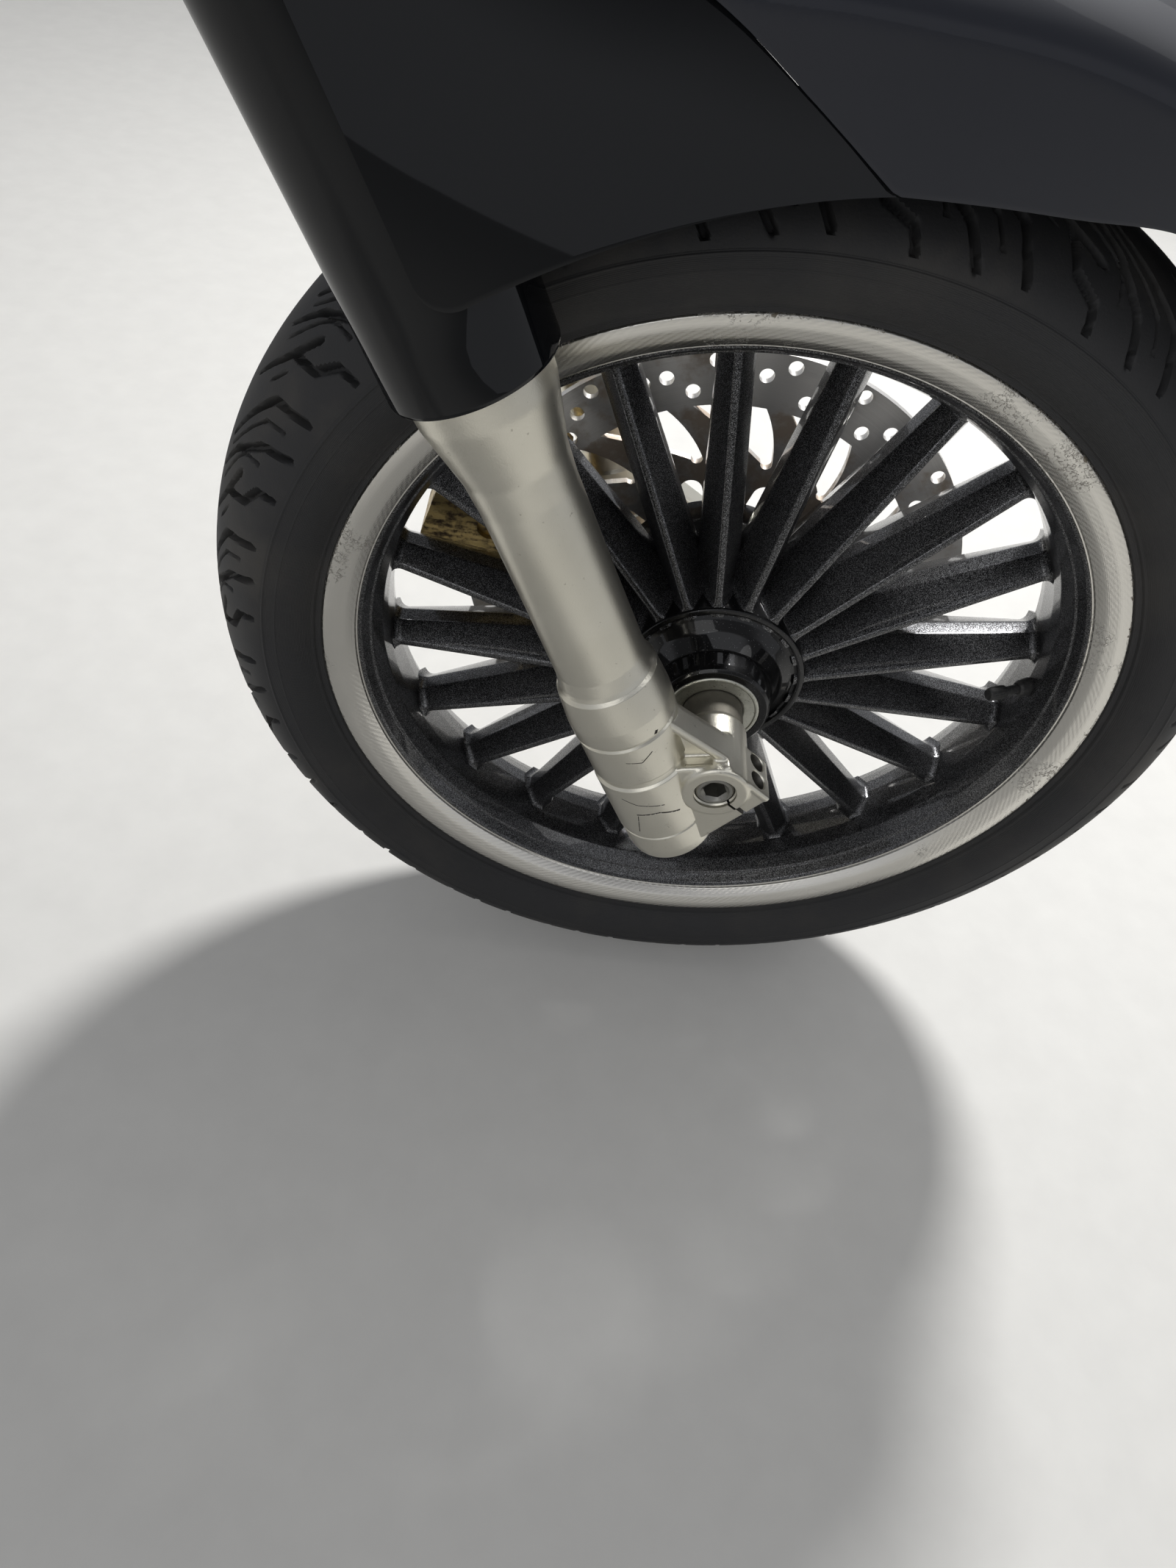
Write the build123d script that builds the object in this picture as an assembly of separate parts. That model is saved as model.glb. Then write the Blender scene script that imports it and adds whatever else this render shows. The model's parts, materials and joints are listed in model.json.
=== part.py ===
from build123d import *
import math
import os

# Front wheel, telescopic fork and mudguard of a motor scooter.
# Millimetres and degrees. The origin is the centre of the lower bearing seat on the
# steering stem, +X points forward, +Y to the rider's left and +Z up, as the scooter stands.
# The fork is drawn upright, with its stem along Z, and leant back by the rake at the end.
# The wheel is drawn about the Y axis and then moved to the axle.

# Steering geometry
RAKE = 26.5
SEAT_HEIGHT = 500.0        # lower bearing seat above the axle, along the stem
AXLE_LEAD = 50.0           # axle ahead of the steering axis
LEG_LEAD = 16.0            # leg centre lines ahead of the steering axis
LEG_SPACING = 190.0        # between the two leg centre lines

# Tyre, 110/70-16
TYRE_RADIUS = 280.0
TYRE_WIDTH = 110.0
TREAD_WIDTH = 98.0
TREAD_DROP = 24.0          # from the crown down to the edge of the tread
TYRE_WALL = 6.0
TREAD_WALL = 9.0
TREAD_CROWN_DROP = 5.8     # from the crown down to half way across the tread
BEAD_TOE = 24.0            # inner edge of the bead, from the middle plane
BELLY_SHARE = 0.76         # of the way from the bead to the shoulder, where the tyre is widest
WALL_STEPS = 2             # straight runs to the wall's curve
TREAD_STEPS = 3            # straight runs to half of the tread's curve

# Rim
BEAD_SEAT_RADIUS = 202.8
RIM_INSIDE_WIDTH = 76.2
LIP_RADIUS = 216.0
LIP_WIDTH = 86.0
RIM_WALL = 4.3
WELL_RADIUS = 190.0
WELL_WIDTH = 34.0
BEAD_FIT = 0.1
LIP_FACE_RADIUS = 206.5    # a point half way down the lip's rounded face
LIP_FACE_Y = 42.0
LIP_FOOT_Y = 34.5          # inner edge of the lip's face
BARREL_BEND_Y = 29.0       # where the barrel starts to fall to the well

# Spokes
SPOKE_COUNT = 20
SPOKE_PHASE = 9.1          # of the first spoke, from +X towards +Z with the scooter upright
SPOKE_EDGE = 4.6           # width of the front and back ridges
SPOKE_HUB_WIDTH = 23.0
SPOKE_RIM_WIDTH = 16.0
SPOKE_HUB_DEPTH = 62.0     # across the wheel, at the hub
SPOKE_RIM_FRONT = -5.0     # front ridge at the rim, from the middle plane
SPOKE_RIM_BACK = 24.0
SPOKE_LAND = 10.0          # flat of the widest line, across the wheel

# Hub, bearings and seals
HUB_SHELL_RADIUS = 51.7
HUB_SHELL_WIDTH = 63.0
HUB_LIP_RADIUS = 31.0
HUB_LIP_REACH = 56.5       # right lip, from the middle plane
HUB_NECK_RADIUS = 58.0     # under the disc's flange on the left
HUB_NECK_Y = 40.0
HUB_FLANGE_RADIUS = 60.0
BEARING_OUTER_RADIUS = 21.0
BEARING_WIDTH = 12.0
BEARING_OUTSIDE = 54.0     # outer face of each bearing, from the middle plane
SEAL_RADIUS = 25.6
SEAL_THICKNESS = 2.6

# Valve
VALVE_ANGLE = 3.5
VALVE_PLANE = -10.0
VALVE_LEAN = 22.0
VALVE_LENGTH = 30.0
VALVE_BASE_RADIUS = 6.0
VALVE_BASE_LENGTH = 9.0
VALVE_STEM_RADIUS = 3.2
VALVE_CAP_RADIUS = 4.0
VALVE_CAP_LENGTH = 9.0

# Brake disc
DISC_RADIUS = 150.0
DISC_RING_INNER_RADIUS = 119.0
DISC_THICKNESS = 4.5
DISC_PLANE = 55.0          # inboard face, from the middle plane
DISC_BORE_RADIUS = 30.0
DISC_MIDDLE_RADIUS = 81.0  # the middle is thicker than the ring
DISC_MIDDLE_THICKNESS = 6.0
ARM_COUNT = 14
ARM_PHASE = 81.5           # of a window's tip, with the scooter upright
ARM_LEAD = 16.0            # how far a window leads from its tip to the ring
ARM_TIP_RADIUS = 87.0
ARM_TIP_HALF = 2.2         # half of the tip, in degrees
ARM_HALF = 3.4             # half of an arm at the ring, in degrees
OVAL_COUNT = 10
OVAL_PHASE = 75.5
OVAL_RADIUS = 63.0
OVAL_LENGTH = 22.0
OVAL_WIDTH = 13.0
DISC_BOLT_COUNT = 5
DISC_BOLT_CIRCLE = 43.0
DISC_BOLT_HEAD = 3.0
DISC_BOLT_HEAD_RADIUS = 6.0
DISC_BOLT_PHASE = 20.0
DRILL_RADIUS = 4.0
DRILL_STEPS = 66
DRILL_PHASE = 112.1        # of the first hole of the order below
DRILL_ROWS = {"outer": 144.0, "middle": 137.0, "inner": 127.5}
DRILL_ORDER = ["middle", "inner", "outer", "inner", "middle", "outer",
               "inner", "middle", "outer", "inner", "middle"]

# Axle
AXLE_RADIUS = 10.0
AXLE_RIGHT_END = -113.6
AXLE_LEFT_END = 113.0
AXLE_HEX = 14.0            # across flats
AXLE_HEX_DEPTH = 12.0
RUNNING_FIT = 0.05
BOLT_FIT = 0.15            # round the shank of every bolt
SPACER_RADIUS = 16.5
SPACER_GAP = 0.3

# Legs: height above the axle along the leg, radius
SLIDER_PROFILE = [
    (-54.0, 15.0), (-50.0, 20.5), (-40.0, 23.0), (-38.5, 24.4), (-24.0, 25.2),
    (-10.0, 26.6), (0.0, 27.0), (19.0, 27.0), (21.0, 26.2), (49.0, 26.2), (51.0, 27.2),
    (62.0, 27.2), (82.0, 25.0), (84.5, 23.2), (92.0, 22.0), (186.0, 21.8), (200.0, 22.8),
    (215.0, 25.8), (228.0, 28.6), (242.0, 29.6), (250.0, 29.6),
]
SLIDER_FLAT = 22.0         # flat on the outer side of the lower part, from the leg's centre line
SLIDER_FLAT_TOP = 76.0     # above the axle
STANCHION_RADIUS = 17.5
STANCHION_WALL = 2.5
STANCHION_FOOT = 75.0      # above the axle
STANCHION_FIT = 0.06
SEAL_SEAT_RADIUS = 24.0
SEAL_SEAT_DEPTH = 10.0
STANCHION_TOP = 3.0        # above the crown
PLUG_DEPTH = 14.0

# Axle lugs on the sliders
LUG_INSIDE = 82.0
BOSS_INSIDE = 73.0
LUG_OUTSIDE = 113.0
LUG_GUSSET_OUTSIDE = 107.0
LUG_FRONT = 24.0           # front face ahead of the axle
GUSSET_TOP = 86.0          # above the axle
GUSSET_LENGTH = 24.0       # of its flat top, ahead of the leg's centre line
CLAMP_TOP = 24.0
BOSS_RADIUS = 17.8
BOSS_PROUD = 1.2
CLAMP_SLOT = 2.0
CLAMP_BOLT_DROP = 15.5     # below the axle
CLAMP_BOLT_PITCH = 12.5
CLAMP_BOLT_RADIUS = 3.0
CLAMP_HEAD_RADIUS = 5.0
CLAMP_HEAD_LENGTH = 6.0
CLAMP_BORE_DEPTH = 10.0    # of the counterbores
CLAMP_SHANK_LENGTH = 24.0

# Crown and stem
CROWN_THICKNESS = 36.0
CROWN_BOSS_RADIUS = 27.0
CROWN_HUB_RADIUS = 26.0
STEM_PRESS_RADIUS = 17.0
STEM_SEAT_RADIUS = 15.0
STEM_SEAT_LENGTH = 14.0
STEM_TUBE_RADIUS = 14.0
STEM_TOP_RADIUS = 12.5
STEM_TOP_SEAT = 172.0      # underside of the upper bearing
STEM_LENGTH = 228.0
STEM_BORE_RADIUS = 9.0
CROWN_WEB_INSET = 3.0      # the arms are thinner than the bosses by this much, top and bottom
CROWN_SLOT = 3.0
CROWN_BOLT_RADIUS = 4.0
CROWN_BOLT_HEAD_RADIUS = 6.5
CROWN_BOLT_HEAD_LENGTH = 7.0
CROWN_BOLT_REACH = 15.0    # of the shank past the slot, into the far ear
CROWN_BOLT_BACK = 6.5      # bolts behind the leg boss
CROWN_EAR_REACH = 14.0     # ear behind the leg boss
CROWN_EAR_HALF = 12.0      # half the ear across the slot

# Leg covers and mudguard
COVER_RADIUS = 34.5
COVER_WALL = 2.5
COVER_FIT = 0.2
COVER_FOOT = 241.0         # above the axle
COVER_TOP = 398.0
COVER_TOP_GAP = 3.0        # round the stanchion
COVER_RING_FOOT = 245.5    # above the axle
GUARD_EDGE_RADIUS = 275.0  # lower edge of the side panels, about the axle
GUARD_WALL = 3.0
GUARD_INSIDE = 62.0        # the arch is cut at the seam outside this half width
GUARD_KNEE = 52.0          # where the shoulder's arc meets the crown's, in degrees
SEAM_GAP = 0.3
# Slices of the arch: angle from +X with the scooter upright, lower edge's radius and half width,
# shoulder's radius and half width, crown's radius
GUARD_SECTIONS = [
    (114.0, 276.0, 84.0, 366.0, 108.0, 384.0),
    (108.0, 276.0, 82.0, 350.0, 98.0, 370.0),
    (102.0, 276.0, 80.0, 331.0, 88.5, 359.0),
    (96.0, 276.0, 78.5, 325.0, 84.0, 354.0),
    (91.0, 276.0, 77.0, 322.0, 80.5, 352.0),
    (84.0, 278.5, 74.0, 321.0, 77.0, 350.0),
    (77.0, 284.0, 70.5, 320.0, 73.0, 348.5),
    (70.0, 294.0, 66.5, 319.0, 68.5, 346.0),
    (60.0, 299.0, 61.0, 316.0, 62.0, 341.0),
    (50.0, 301.0, 55.0, 312.0, 55.5, 335.0),
    (40.0, 302.5, 47.0, 309.0, 47.5, 328.0),
    (31.0, 304.0, 37.0, 308.0, 37.3, 321.0),
]
PANEL_BEND_X = 92.0
PANEL_NOSE_X = 170.0
PANEL_LOW = 190.0
# Level slices of a side panel: height above the axle, half width at the bend and at the nose
PANEL_SECTIONS = [(210.0, 111.5, 81.0), (260.0, 110.0, 76.5), (310.0, 106.0, 68.0), (400.0, 92.0, 46.0)]
# Seam between the arch and the panels, seen from the side: x, height above the axle
PANEL_SEAM = [(175.0, 240.0), (168.0, 252.0), (150.0, 283.0), (128.0, 319.0), (101.0, 349.0),
              (68.0, 373.0), (43.0, 389.0), (16.0, 397.0)]

# Brake caliper, in the disc's own polar place
CALIPER_ANGLE = 138.0      # from the fork's forward axis
CALIPER_LENGTH = 104.0
CALIPER_INNER_RADIUS = 104.0
CALIPER_OUTER_RADIUS = 174.0
CALIPER_INBOARD = 39.5
CALIPER_OUTBOARD = 79.0
DISC_SLOT = 14.5
PAD_THICKNESS = 5.5
PAD_LENGTH = 42.0
PAD_GAP = 0.5
PAD_SEAT = 0.2
EAR_RADIUS = 100.0         # of the two fixing holes, from the axle
EAR_OFFSETS = (-12.0, 44.0)  # of each hole, along the disc's edge
EAR_BOSS = 10.0
EAR_THICKNESS = 12.0
LUG_DEPTH = 12.0
PISTON_RADIUS = 131.0      # of the two piston bosses, from the axle
PISTON_OFFSET = 21.0
PISTON_BOSS_RADIUS = 18.0
PISTON_BOSS_RISE = 3.0
# Shallow holes in the face towards the wheel: radius, from the axle, along the edge, depth
CALIPER_BORES = [(4.0, 159.0, -19.0, 7.0), (7.5, 138.0, 10.0, 4.0)]
CALIPER_BOLT_RADIUS = 4.0

# Places worked out from the sizes above
LEG_Y = LEG_SPACING / 2
AXLE_Z = -SEAT_HEIGHT
LEAN = Rot(0, -RAKE, 0)
AT_AXLE = Location((AXLE_LEAD, 0, AXLE_Z))
SPOKE_TURN = SPOKE_PHASE - RAKE             # in the upright fork's own frame

parts = {}


def add(name, shape):
    """Keep a finished piece under its node name."""
    parts[name] = shape


def up(height):
    """Height above the axle to the upright fork's Z."""
    return height - SEAT_HEIGHT


def about_axle(points):
    """Solid of revolution about Y from a closed outline of (radius, y) points."""
    outline = make_face(Polyline(*points, close=True))
    return revolve(outline, Axis.Y, 360)


def rod_y(radius, y_from, y_to, x=0.0, z=0.0):
    """Round rod along Y between two planes."""
    middle = (y_from + y_to) / 2
    return Pos(x, middle, z) * Rot(90, 0, 0) * Cylinder(radius, abs(y_to - y_from))


def block(x_from, x_to, y_from, y_to, z_from, z_to):
    """Box between six planes."""
    size = (x_to - x_from, y_to - y_from, z_to - z_from)
    centre = ((x_from + x_to) / 2, (y_from + y_to) / 2, (z_from + z_to) / 2)
    return Pos(*centre) * Box(*size)


def turn_y(angle):
    """Turn about the Y axis that carries +X towards +Z."""
    return Rot(0, -angle, 0)


def side_outline(points, y_from, y_to):
    """Plate from a closed side view of (x, z) points between two Y planes."""
    face = make_face(Polyline(*[(x, y_from, z) for x, z in points], close=True))
    return extrude(face, amount=y_to - y_from, dir=(0, 1, 0))


# Tyre
def along(arc, steps):
    """Points spread evenly along an arc, its start left out."""
    return [arc @ (i / steps) for i in range(1, steps + 1)]


def tyre():
    """Carcass without its tread pattern, as a section of short straight runs turned about the axle."""
    half = TYRE_WIDTH / 2
    edge = TREAD_WIDTH / 2
    shoulder = TYRE_RADIUS - TREAD_DROP
    bead_y = RIM_INSIDE_WIDTH / 2 - BEAD_FIT
    bead_r = BEAD_SEAT_RADIUS + BEAD_FIT
    belly = bead_r + (shoulder - bead_r) * BELLY_SHARE
    over_lip = (LIP_RADIUS + 3, LIP_WIDTH / 2 + 1)
    wall = ThreePointArc(over_lip, (belly, half), (shoulder, edge))
    tread = ThreePointArc((shoulder, edge), (TYRE_RADIUS - TREAD_CROWN_DROP, edge / 2), (TYRE_RADIUS, 0))
    crown_in = (TYRE_RADIUS - TREAD_WALL, 0)
    edge_in = (shoulder - 4, edge - TYRE_WALL - 1)
    points = [(bead_r, BEAD_TOE), (bead_r, bead_y), (LIP_RADIUS + 0.2, bead_y), over_lip]
    points += along(wall, WALL_STEPS) + along(tread, TREAD_STEPS)
    points += [crown_in, edge_in]
    right = revolve(make_face(Polyline(*points, close=True)), Axis.Y, 360)
    return right + mirror(right, Plane.XZ)


# Cast wheel
def rim():
    seat = BEAD_SEAT_RADIUS
    inside = RIM_INSIDE_WIDTH / 2
    lip = LIP_WIDTH / 2
    well = WELL_WIDTH / 2
    under = seat - RIM_WALL
    outer = Polyline((WELL_RADIUS, 0), (WELL_RADIUS, well), (seat, 26), (seat, inside),
                     (LIP_RADIUS - 6, inside), (LIP_RADIUS, lip - 2.5), (LIP_RADIUS, lip))
    face = ThreePointArc((LIP_RADIUS, lip), (LIP_FACE_RADIUS, LIP_FACE_Y), (under, LIP_FOOT_Y))
    barrel = Polyline((under, LIP_FOOT_Y), (under, BARREL_BEND_Y), (WELL_RADIUS - RIM_WALL + 2, well + 3),
                      (WELL_RADIUS - RIM_WALL, 8), (WELL_RADIUS - RIM_WALL, 0), (WELL_RADIUS, 0))
    half = revolve(make_face(outer + face + barrel), Axis.Y, 360)
    return half + mirror(half, Plane.XZ)


def hub():
    shell = HUB_SHELL_RADIUS
    half = HUB_SHELL_WIDTH / 2
    bore = AXLE_RADIUS + 3
    seat_in = BEARING_OUTSIDE - BEARING_WIDTH
    seal_in = BEARING_OUTSIDE
    right = Polyline((bore, 0), (bore, -seat_in), (BEARING_OUTER_RADIUS, -seat_in),
                     (BEARING_OUTER_RADIUS, -seal_in), (SEAL_RADIUS, -seal_in),
                     (SEAL_RADIUS, -HUB_LIP_REACH), (HUB_LIP_RADIUS - 1.5, -HUB_LIP_REACH),
                     (HUB_LIP_RADIUS, -HUB_LIP_REACH + 1.5), (HUB_LIP_RADIUS + 1, -HUB_LIP_REACH + 5))
    dish = ThreePointArc((HUB_LIP_RADIUS + 1, -HUB_LIP_REACH + 5), (36.5, -36.5), (45.5, -half + 2.5))
    ring = Polyline((45.5, -half + 2.5), (48.0, -half + 2.2), (49.0, -half), (shell, -half),
                    (shell, 0), (bore, 0))
    right_half = revolve(make_face(right + dish + ring), Axis.Y, 360)
    spigot = DISC_BORE_RADIUS - 0.1
    left_half = about_axle([(bore, 0), (shell, 0), (shell, half - 2), (HUB_NECK_RADIUS, HUB_NECK_Y),
                            (HUB_FLANGE_RADIUS, DISC_PLANE),
                            (spigot, DISC_PLANE), (spigot, DISC_PLANE + 3), (SEAL_RADIUS, DISC_PLANE + 3),
                            (SEAL_RADIUS, seal_in), (BEARING_OUTER_RADIUS, seal_in),
                            (BEARING_OUTER_RADIUS, seat_in), (bore, seat_in)])
    return right_half + left_half


def spoke():
    """One blade: a lens section with blunt ridges, wide and deep at the hub, slim at the rim."""
    sections = []
    ends = [(HUB_SHELL_RADIUS - 6, SPOKE_HUB_WIDTH, -SPOKE_HUB_DEPTH / 2, SPOKE_HUB_DEPTH / 2),
            (WELL_RADIUS - 2, SPOKE_RIM_WIDTH, SPOKE_RIM_FRONT, SPOKE_RIM_BACK)]
    for radius, width, front, back in ends:
        ridge = SPOKE_EDGE / 2
        side = width / 2
        land_front = (front + back - SPOKE_LAND) / 2
        land_back = land_front + SPOKE_LAND
        outline = [(front, ridge), (land_front, side), (land_back, side), (back, ridge),
                   (back, -ridge), (land_back, -side), (land_front, -side), (front, -ridge)]
        wire = Polyline(*[(radius, y, z) for y, z in outline], close=True)
        sections.append(make_face(wire))
    return loft(sections, ruled=True)


def cast_wheel():
    blade = spoke()
    step = 360 / SPOKE_COUNT
    blades = [turn_y(SPOKE_TURN + step * i) * blade for i in range(SPOKE_COUNT)]
    body = rim() + hub()
    body = body + blades
    return body - at_valve(rod_x(VALVE_BASE_RADIUS, -VALVE_BASE_LENGTH - RIM_WALL, 3 * RIM_WALL))


def brake_disc():
    y0 = DISC_PLANE
    y1 = DISC_PLANE + DISC_THICKNESS
    top = DISC_PLANE + DISC_MIDDLE_THICKNESS
    disc = rod_y(DISC_RADIUS, y0, y1) + rod_y(DISC_MIDDLE_RADIUS, y0, top)
    disc = disc - rod_y(DISC_BORE_RADIUS, y0 - 1, top + 1)
    cuts = []
    for i in range(DRILL_STEPS):
        row = DRILL_ORDER[i % len(DRILL_ORDER)]
        angle = DRILL_PHASE - RAKE - i * 360 / DRILL_STEPS
        cuts.append(turn_y(angle) * rod_y(DRILL_RADIUS, y0 - 1, y1 + 1, x=DRILL_ROWS[row]))
    for i in range(ARM_COUNT):
        angle = ARM_PHASE - RAKE + i * 360 / ARM_COUNT
        cuts.append(turn_y(angle) * arm_window(y0 - 1, y1 + 1))
    slot = Rot(90, 0, 0) * SlotOverall(OVAL_LENGTH, OVAL_WIDTH)
    oval = Pos(OVAL_RADIUS, y0 - 1, 0) * extrude(slot, amount=DISC_MIDDLE_THICKNESS + 2, dir=(0, 1, 0))
    for i in range(OVAL_COUNT):
        cuts.append(turn_y(OVAL_PHASE - RAKE + i * 360 / OVAL_COUNT) * oval)
    return disc - cuts


def arm_window(y0, y1):
    """Curved teardrop between two swept arms; its narrow tip lies on +X."""
    tip_r = ARM_TIP_RADIUS
    rim_r = DISC_RING_INNER_RADIUS
    half = 180 / ARM_COUNT - ARM_HALF

    def at(radius, angle):
        return (radius * math.cos(math.radians(angle)), y0, radius * math.sin(math.radians(angle)))

    a0 = at(tip_r, -ARM_TIP_HALF)
    a1 = at(tip_r, ARM_TIP_HALF)
    b0 = at(rim_r, ARM_LEAD - half)
    b1 = at(rim_r, ARM_LEAD + half)
    middle = (tip_r + rim_r) / 2
    outline = [ThreePointArc(a0, at(tip_r - 3, 0), a1),
               ThreePointArc(a1, at(middle - 2, ARM_LEAD * 0.55 + half * 0.62), b1),
               ThreePointArc(b1, at(rim_r, ARM_LEAD), b0),
               ThreePointArc(b0, at(middle, ARM_LEAD * 0.42 - half * 0.55), a0)]
    return extrude(make_face(outline), amount=y1 - y0, dir=(0, 1, 0))


def disc_bolts():
    heads = []
    y = DISC_PLANE + DISC_MIDDLE_THICKNESS
    for i in range(DISC_BOLT_COUNT):
        turn = turn_y(DISC_BOLT_PHASE + i * 360 / DISC_BOLT_COUNT)
        heads.append(turn * rod_y(DISC_BOLT_HEAD_RADIUS, y, y + DISC_BOLT_HEAD, x=DISC_BOLT_CIRCLE))
    return Compound(children=heads)


def ring_y(inner, outer, y_from, y_to):
    return rod_y(outer, y_from, y_to) - rod_y(inner, y_from - 1, y_to + 1)


def at_valve(shape):
    """Turn a piece drawn along X to the valve's place in the rim."""
    return turn_y(VALVE_ANGLE - RAKE) * Pos(WELL_RADIUS, VALVE_PLANE, 0) * Rot(0, 0, VALVE_LEAN) * shape


def rod_x(radius, x_from, x_to):
    """Round rod along X between two planes."""
    return Pos((x_from + x_to) / 2, 0, 0) * Rot(0, 90, 0) * Cylinder(radius, x_to - x_from)


def valve():
    base = rod_x(VALVE_BASE_RADIUS, -VALVE_BASE_LENGTH, 0)
    stem = rod_x(VALVE_STEM_RADIUS, -VALVE_LENGTH, -VALVE_BASE_LENGTH)
    cap = rod_x(VALVE_CAP_RADIUS, -VALVE_LENGTH - 2, -VALVE_LENGTH + VALVE_CAP_LENGTH)
    return at_valve(base + stem + cap)


# Fork
def slider(side):
    """Lower leg with its axle lug; side is -1 on the right and 1 on the left."""
    outline = [(0, up(SLIDER_PROFILE[0][0]))]
    outline += [(radius, up(height)) for height, radius in SLIDER_PROFILE]
    outline += [(0, up(SLIDER_PROFILE[-1][0]))]
    tube = about_leg(outline)
    top = up(SLIDER_PROFILE[-1][0])
    bore_foot = up(STANCHION_FOOT - 6)
    bore_middle = (top + bore_foot) / 2 + 1
    bore = Pos(0, 0, bore_middle) * Cylinder(STANCHION_RADIUS + STANCHION_FIT, top - bore_foot + 2)
    seat = Pos(0, 0, top - SEAL_SEAT_DEPTH / 2 + 0.5) * Cylinder(SEAL_SEAT_RADIUS, SEAL_SEAT_DEPTH + 1)
    bell = SLIDER_PROFILE[-1][1]
    low, high = sorted((side * SLIDER_FLAT, side * (bell + 1)))
    flat = block(-bell, bell, low, high, up(SLIDER_PROFILE[0][0] - 1), up(SLIDER_FLAT_TOP))
    leg = Pos(LEG_LEAD, side * LEG_Y, 0) * (tube - flat)
    front = AXLE_LEAD + LUG_FRONT
    clamp = side_outline([(LEG_LEAD, up(CLAMP_TOP)), (AXLE_LEAD + 12, up(CLAMP_TOP)),
                          (front, up(CLAMP_TOP - 5)), (front + 1, up(-11)),
                          (LEG_LEAD + 19, up(-37)), (LEG_LEAD, up(-43))], LUG_INSIDE, LUG_OUTSIDE)
    gusset = side_outline([(LEG_LEAD, up(GUSSET_TOP)), (LEG_LEAD + GUSSET_LENGTH, up(GUSSET_TOP)),
                           (front - 2, up(CLAMP_TOP)), (front - 2, up(0)), (LEG_LEAD, up(0))],
                          LUG_INSIDE + 2, LUG_GUSSET_OUTSIDE)
    boss = rod_y(BOSS_RADIUS, BOSS_INSIDE, LUG_OUTSIDE + BOSS_PROUD, x=AXLE_LEAD, z=AXLE_Z)
    lug = clamp + gusset + boss
    if side < 0:
        lug = mirror(lug, Plane.XZ)
    body = leg + lug
    if side > 0:
        body = body + caliper_ears()
    body = body - Pos(LEG_LEAD, side * LEG_Y, 0) * (bore + seat)
    body = body - rod_y(AXLE_RADIUS, -LUG_OUTSIDE - 5, LUG_OUTSIDE + 5, x=AXLE_LEAD, z=AXLE_Z)
    if side < 0:
        body = body - clamp_cuts()
    return body


def clamp_cuts():
    """Slot below the axle and two counterbored bolt holes through the front of the clamp."""
    slot = block(AXLE_LEAD - CLAMP_SLOT / 2, AXLE_LEAD + CLAMP_SLOT / 2,
                 -LUG_OUTSIDE - 3, -BOSS_INSIDE + 1, up(-45), AXLE_Z)
    cuts = [slot]
    z = up(-CLAMP_BOLT_DROP)
    for y in clamp_bolt_places():
        head = rod_x(CLAMP_HEAD_RADIUS + 0.4, clamp_seat(), clamp_seat() + CLAMP_BORE_DEPTH + 2)
        shank = rod_x(CLAMP_BOLT_RADIUS + BOLT_FIT, clamp_seat() - CLAMP_SHANK_LENGTH - 3, clamp_seat() + 1)
        cuts += [Pos(0, y, z) * head, Pos(0, y, z) * shank]
    return cuts


def clamp_seat():
    """Floor of the counterbores, under the bolt heads."""
    return AXLE_LEAD + LUG_FRONT + 1 - CLAMP_BORE_DEPTH


def clamp_bolt_places():
    middle = -(LUG_INSIDE + LUG_OUTSIDE) / 2 + 1
    return [middle - CLAMP_BOLT_PITCH / 2, middle + CLAMP_BOLT_PITCH / 2]


def clamp_bolts():
    bolts = []
    for y in clamp_bolt_places():
        head = rod_x(CLAMP_HEAD_RADIUS, clamp_seat(), clamp_seat() + CLAMP_HEAD_LENGTH)
        shank = rod_x(CLAMP_BOLT_RADIUS, clamp_seat() - CLAMP_SHANK_LENGTH, clamp_seat())
        bolts.append(Pos(0, y, up(-CLAMP_BOLT_DROP)) * (head + shank))
    return Compound(children=bolts)


def ear_places():
    """The two fixing holes as x and z in the upright fork."""
    angle = math.radians(CALIPER_ANGLE)
    places = []
    for along in EAR_OFFSETS:
        x = AXLE_LEAD + EAR_RADIUS * math.cos(angle) - along * math.sin(angle)
        z = AXLE_Z + EAR_RADIUS * math.sin(angle) + along * math.cos(angle)
        places.append((x, z))
    return places


def caliper_ears():
    """Two ears on the back of the left slider."""
    inner = CALIPER_OUTBOARD
    outer = CALIPER_OUTBOARD + EAR_THICKNESS
    root = LEG_LEAD - 10
    ears = []
    for x, z in ear_places():
        arm = side_outline([(root, z + 2 * EAR_BOSS), (x, z + EAR_BOSS), (x, z - EAR_BOSS),
                            (root, z - 1.6 * EAR_BOSS)], inner, outer)
        boss = rod_y(EAR_BOSS, inner, outer, x=x, z=z)
        hole = rod_y(CALIPER_BOLT_RADIUS + BOLT_FIT, inner - 1, outer + 1, x=x, z=z)
        ears.append(arm + boss - hole)
    return ears[0] + ears[1]


def caliper_bolts():
    bolts = []
    y = CALIPER_OUTBOARD + EAR_THICKNESS
    for x, z in ear_places():
        shank = rod_y(CALIPER_BOLT_RADIUS, CALIPER_OUTBOARD - LUG_DEPTH + 3, y, x=x, z=z)
        head = rod_y(CALIPER_BOLT_RADIUS + 2.5, y, y + 6, x=x, z=z)
        bolts.append(shank + head)
    return Compound(children=bolts)


def stanchion():
    foot = up(STANCHION_FOOT)
    inner = STANCHION_RADIUS - STANCHION_WALL
    plug = STANCHION_TOP - PLUG_DEPTH
    points = [(inner, foot), (STANCHION_RADIUS, foot), (STANCHION_RADIUS, STANCHION_TOP - 1.5),
              (STANCHION_RADIUS - 1.5, STANCHION_TOP), (0, STANCHION_TOP), (0, plug), (inner, plug)]
    return about_leg(points)


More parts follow.
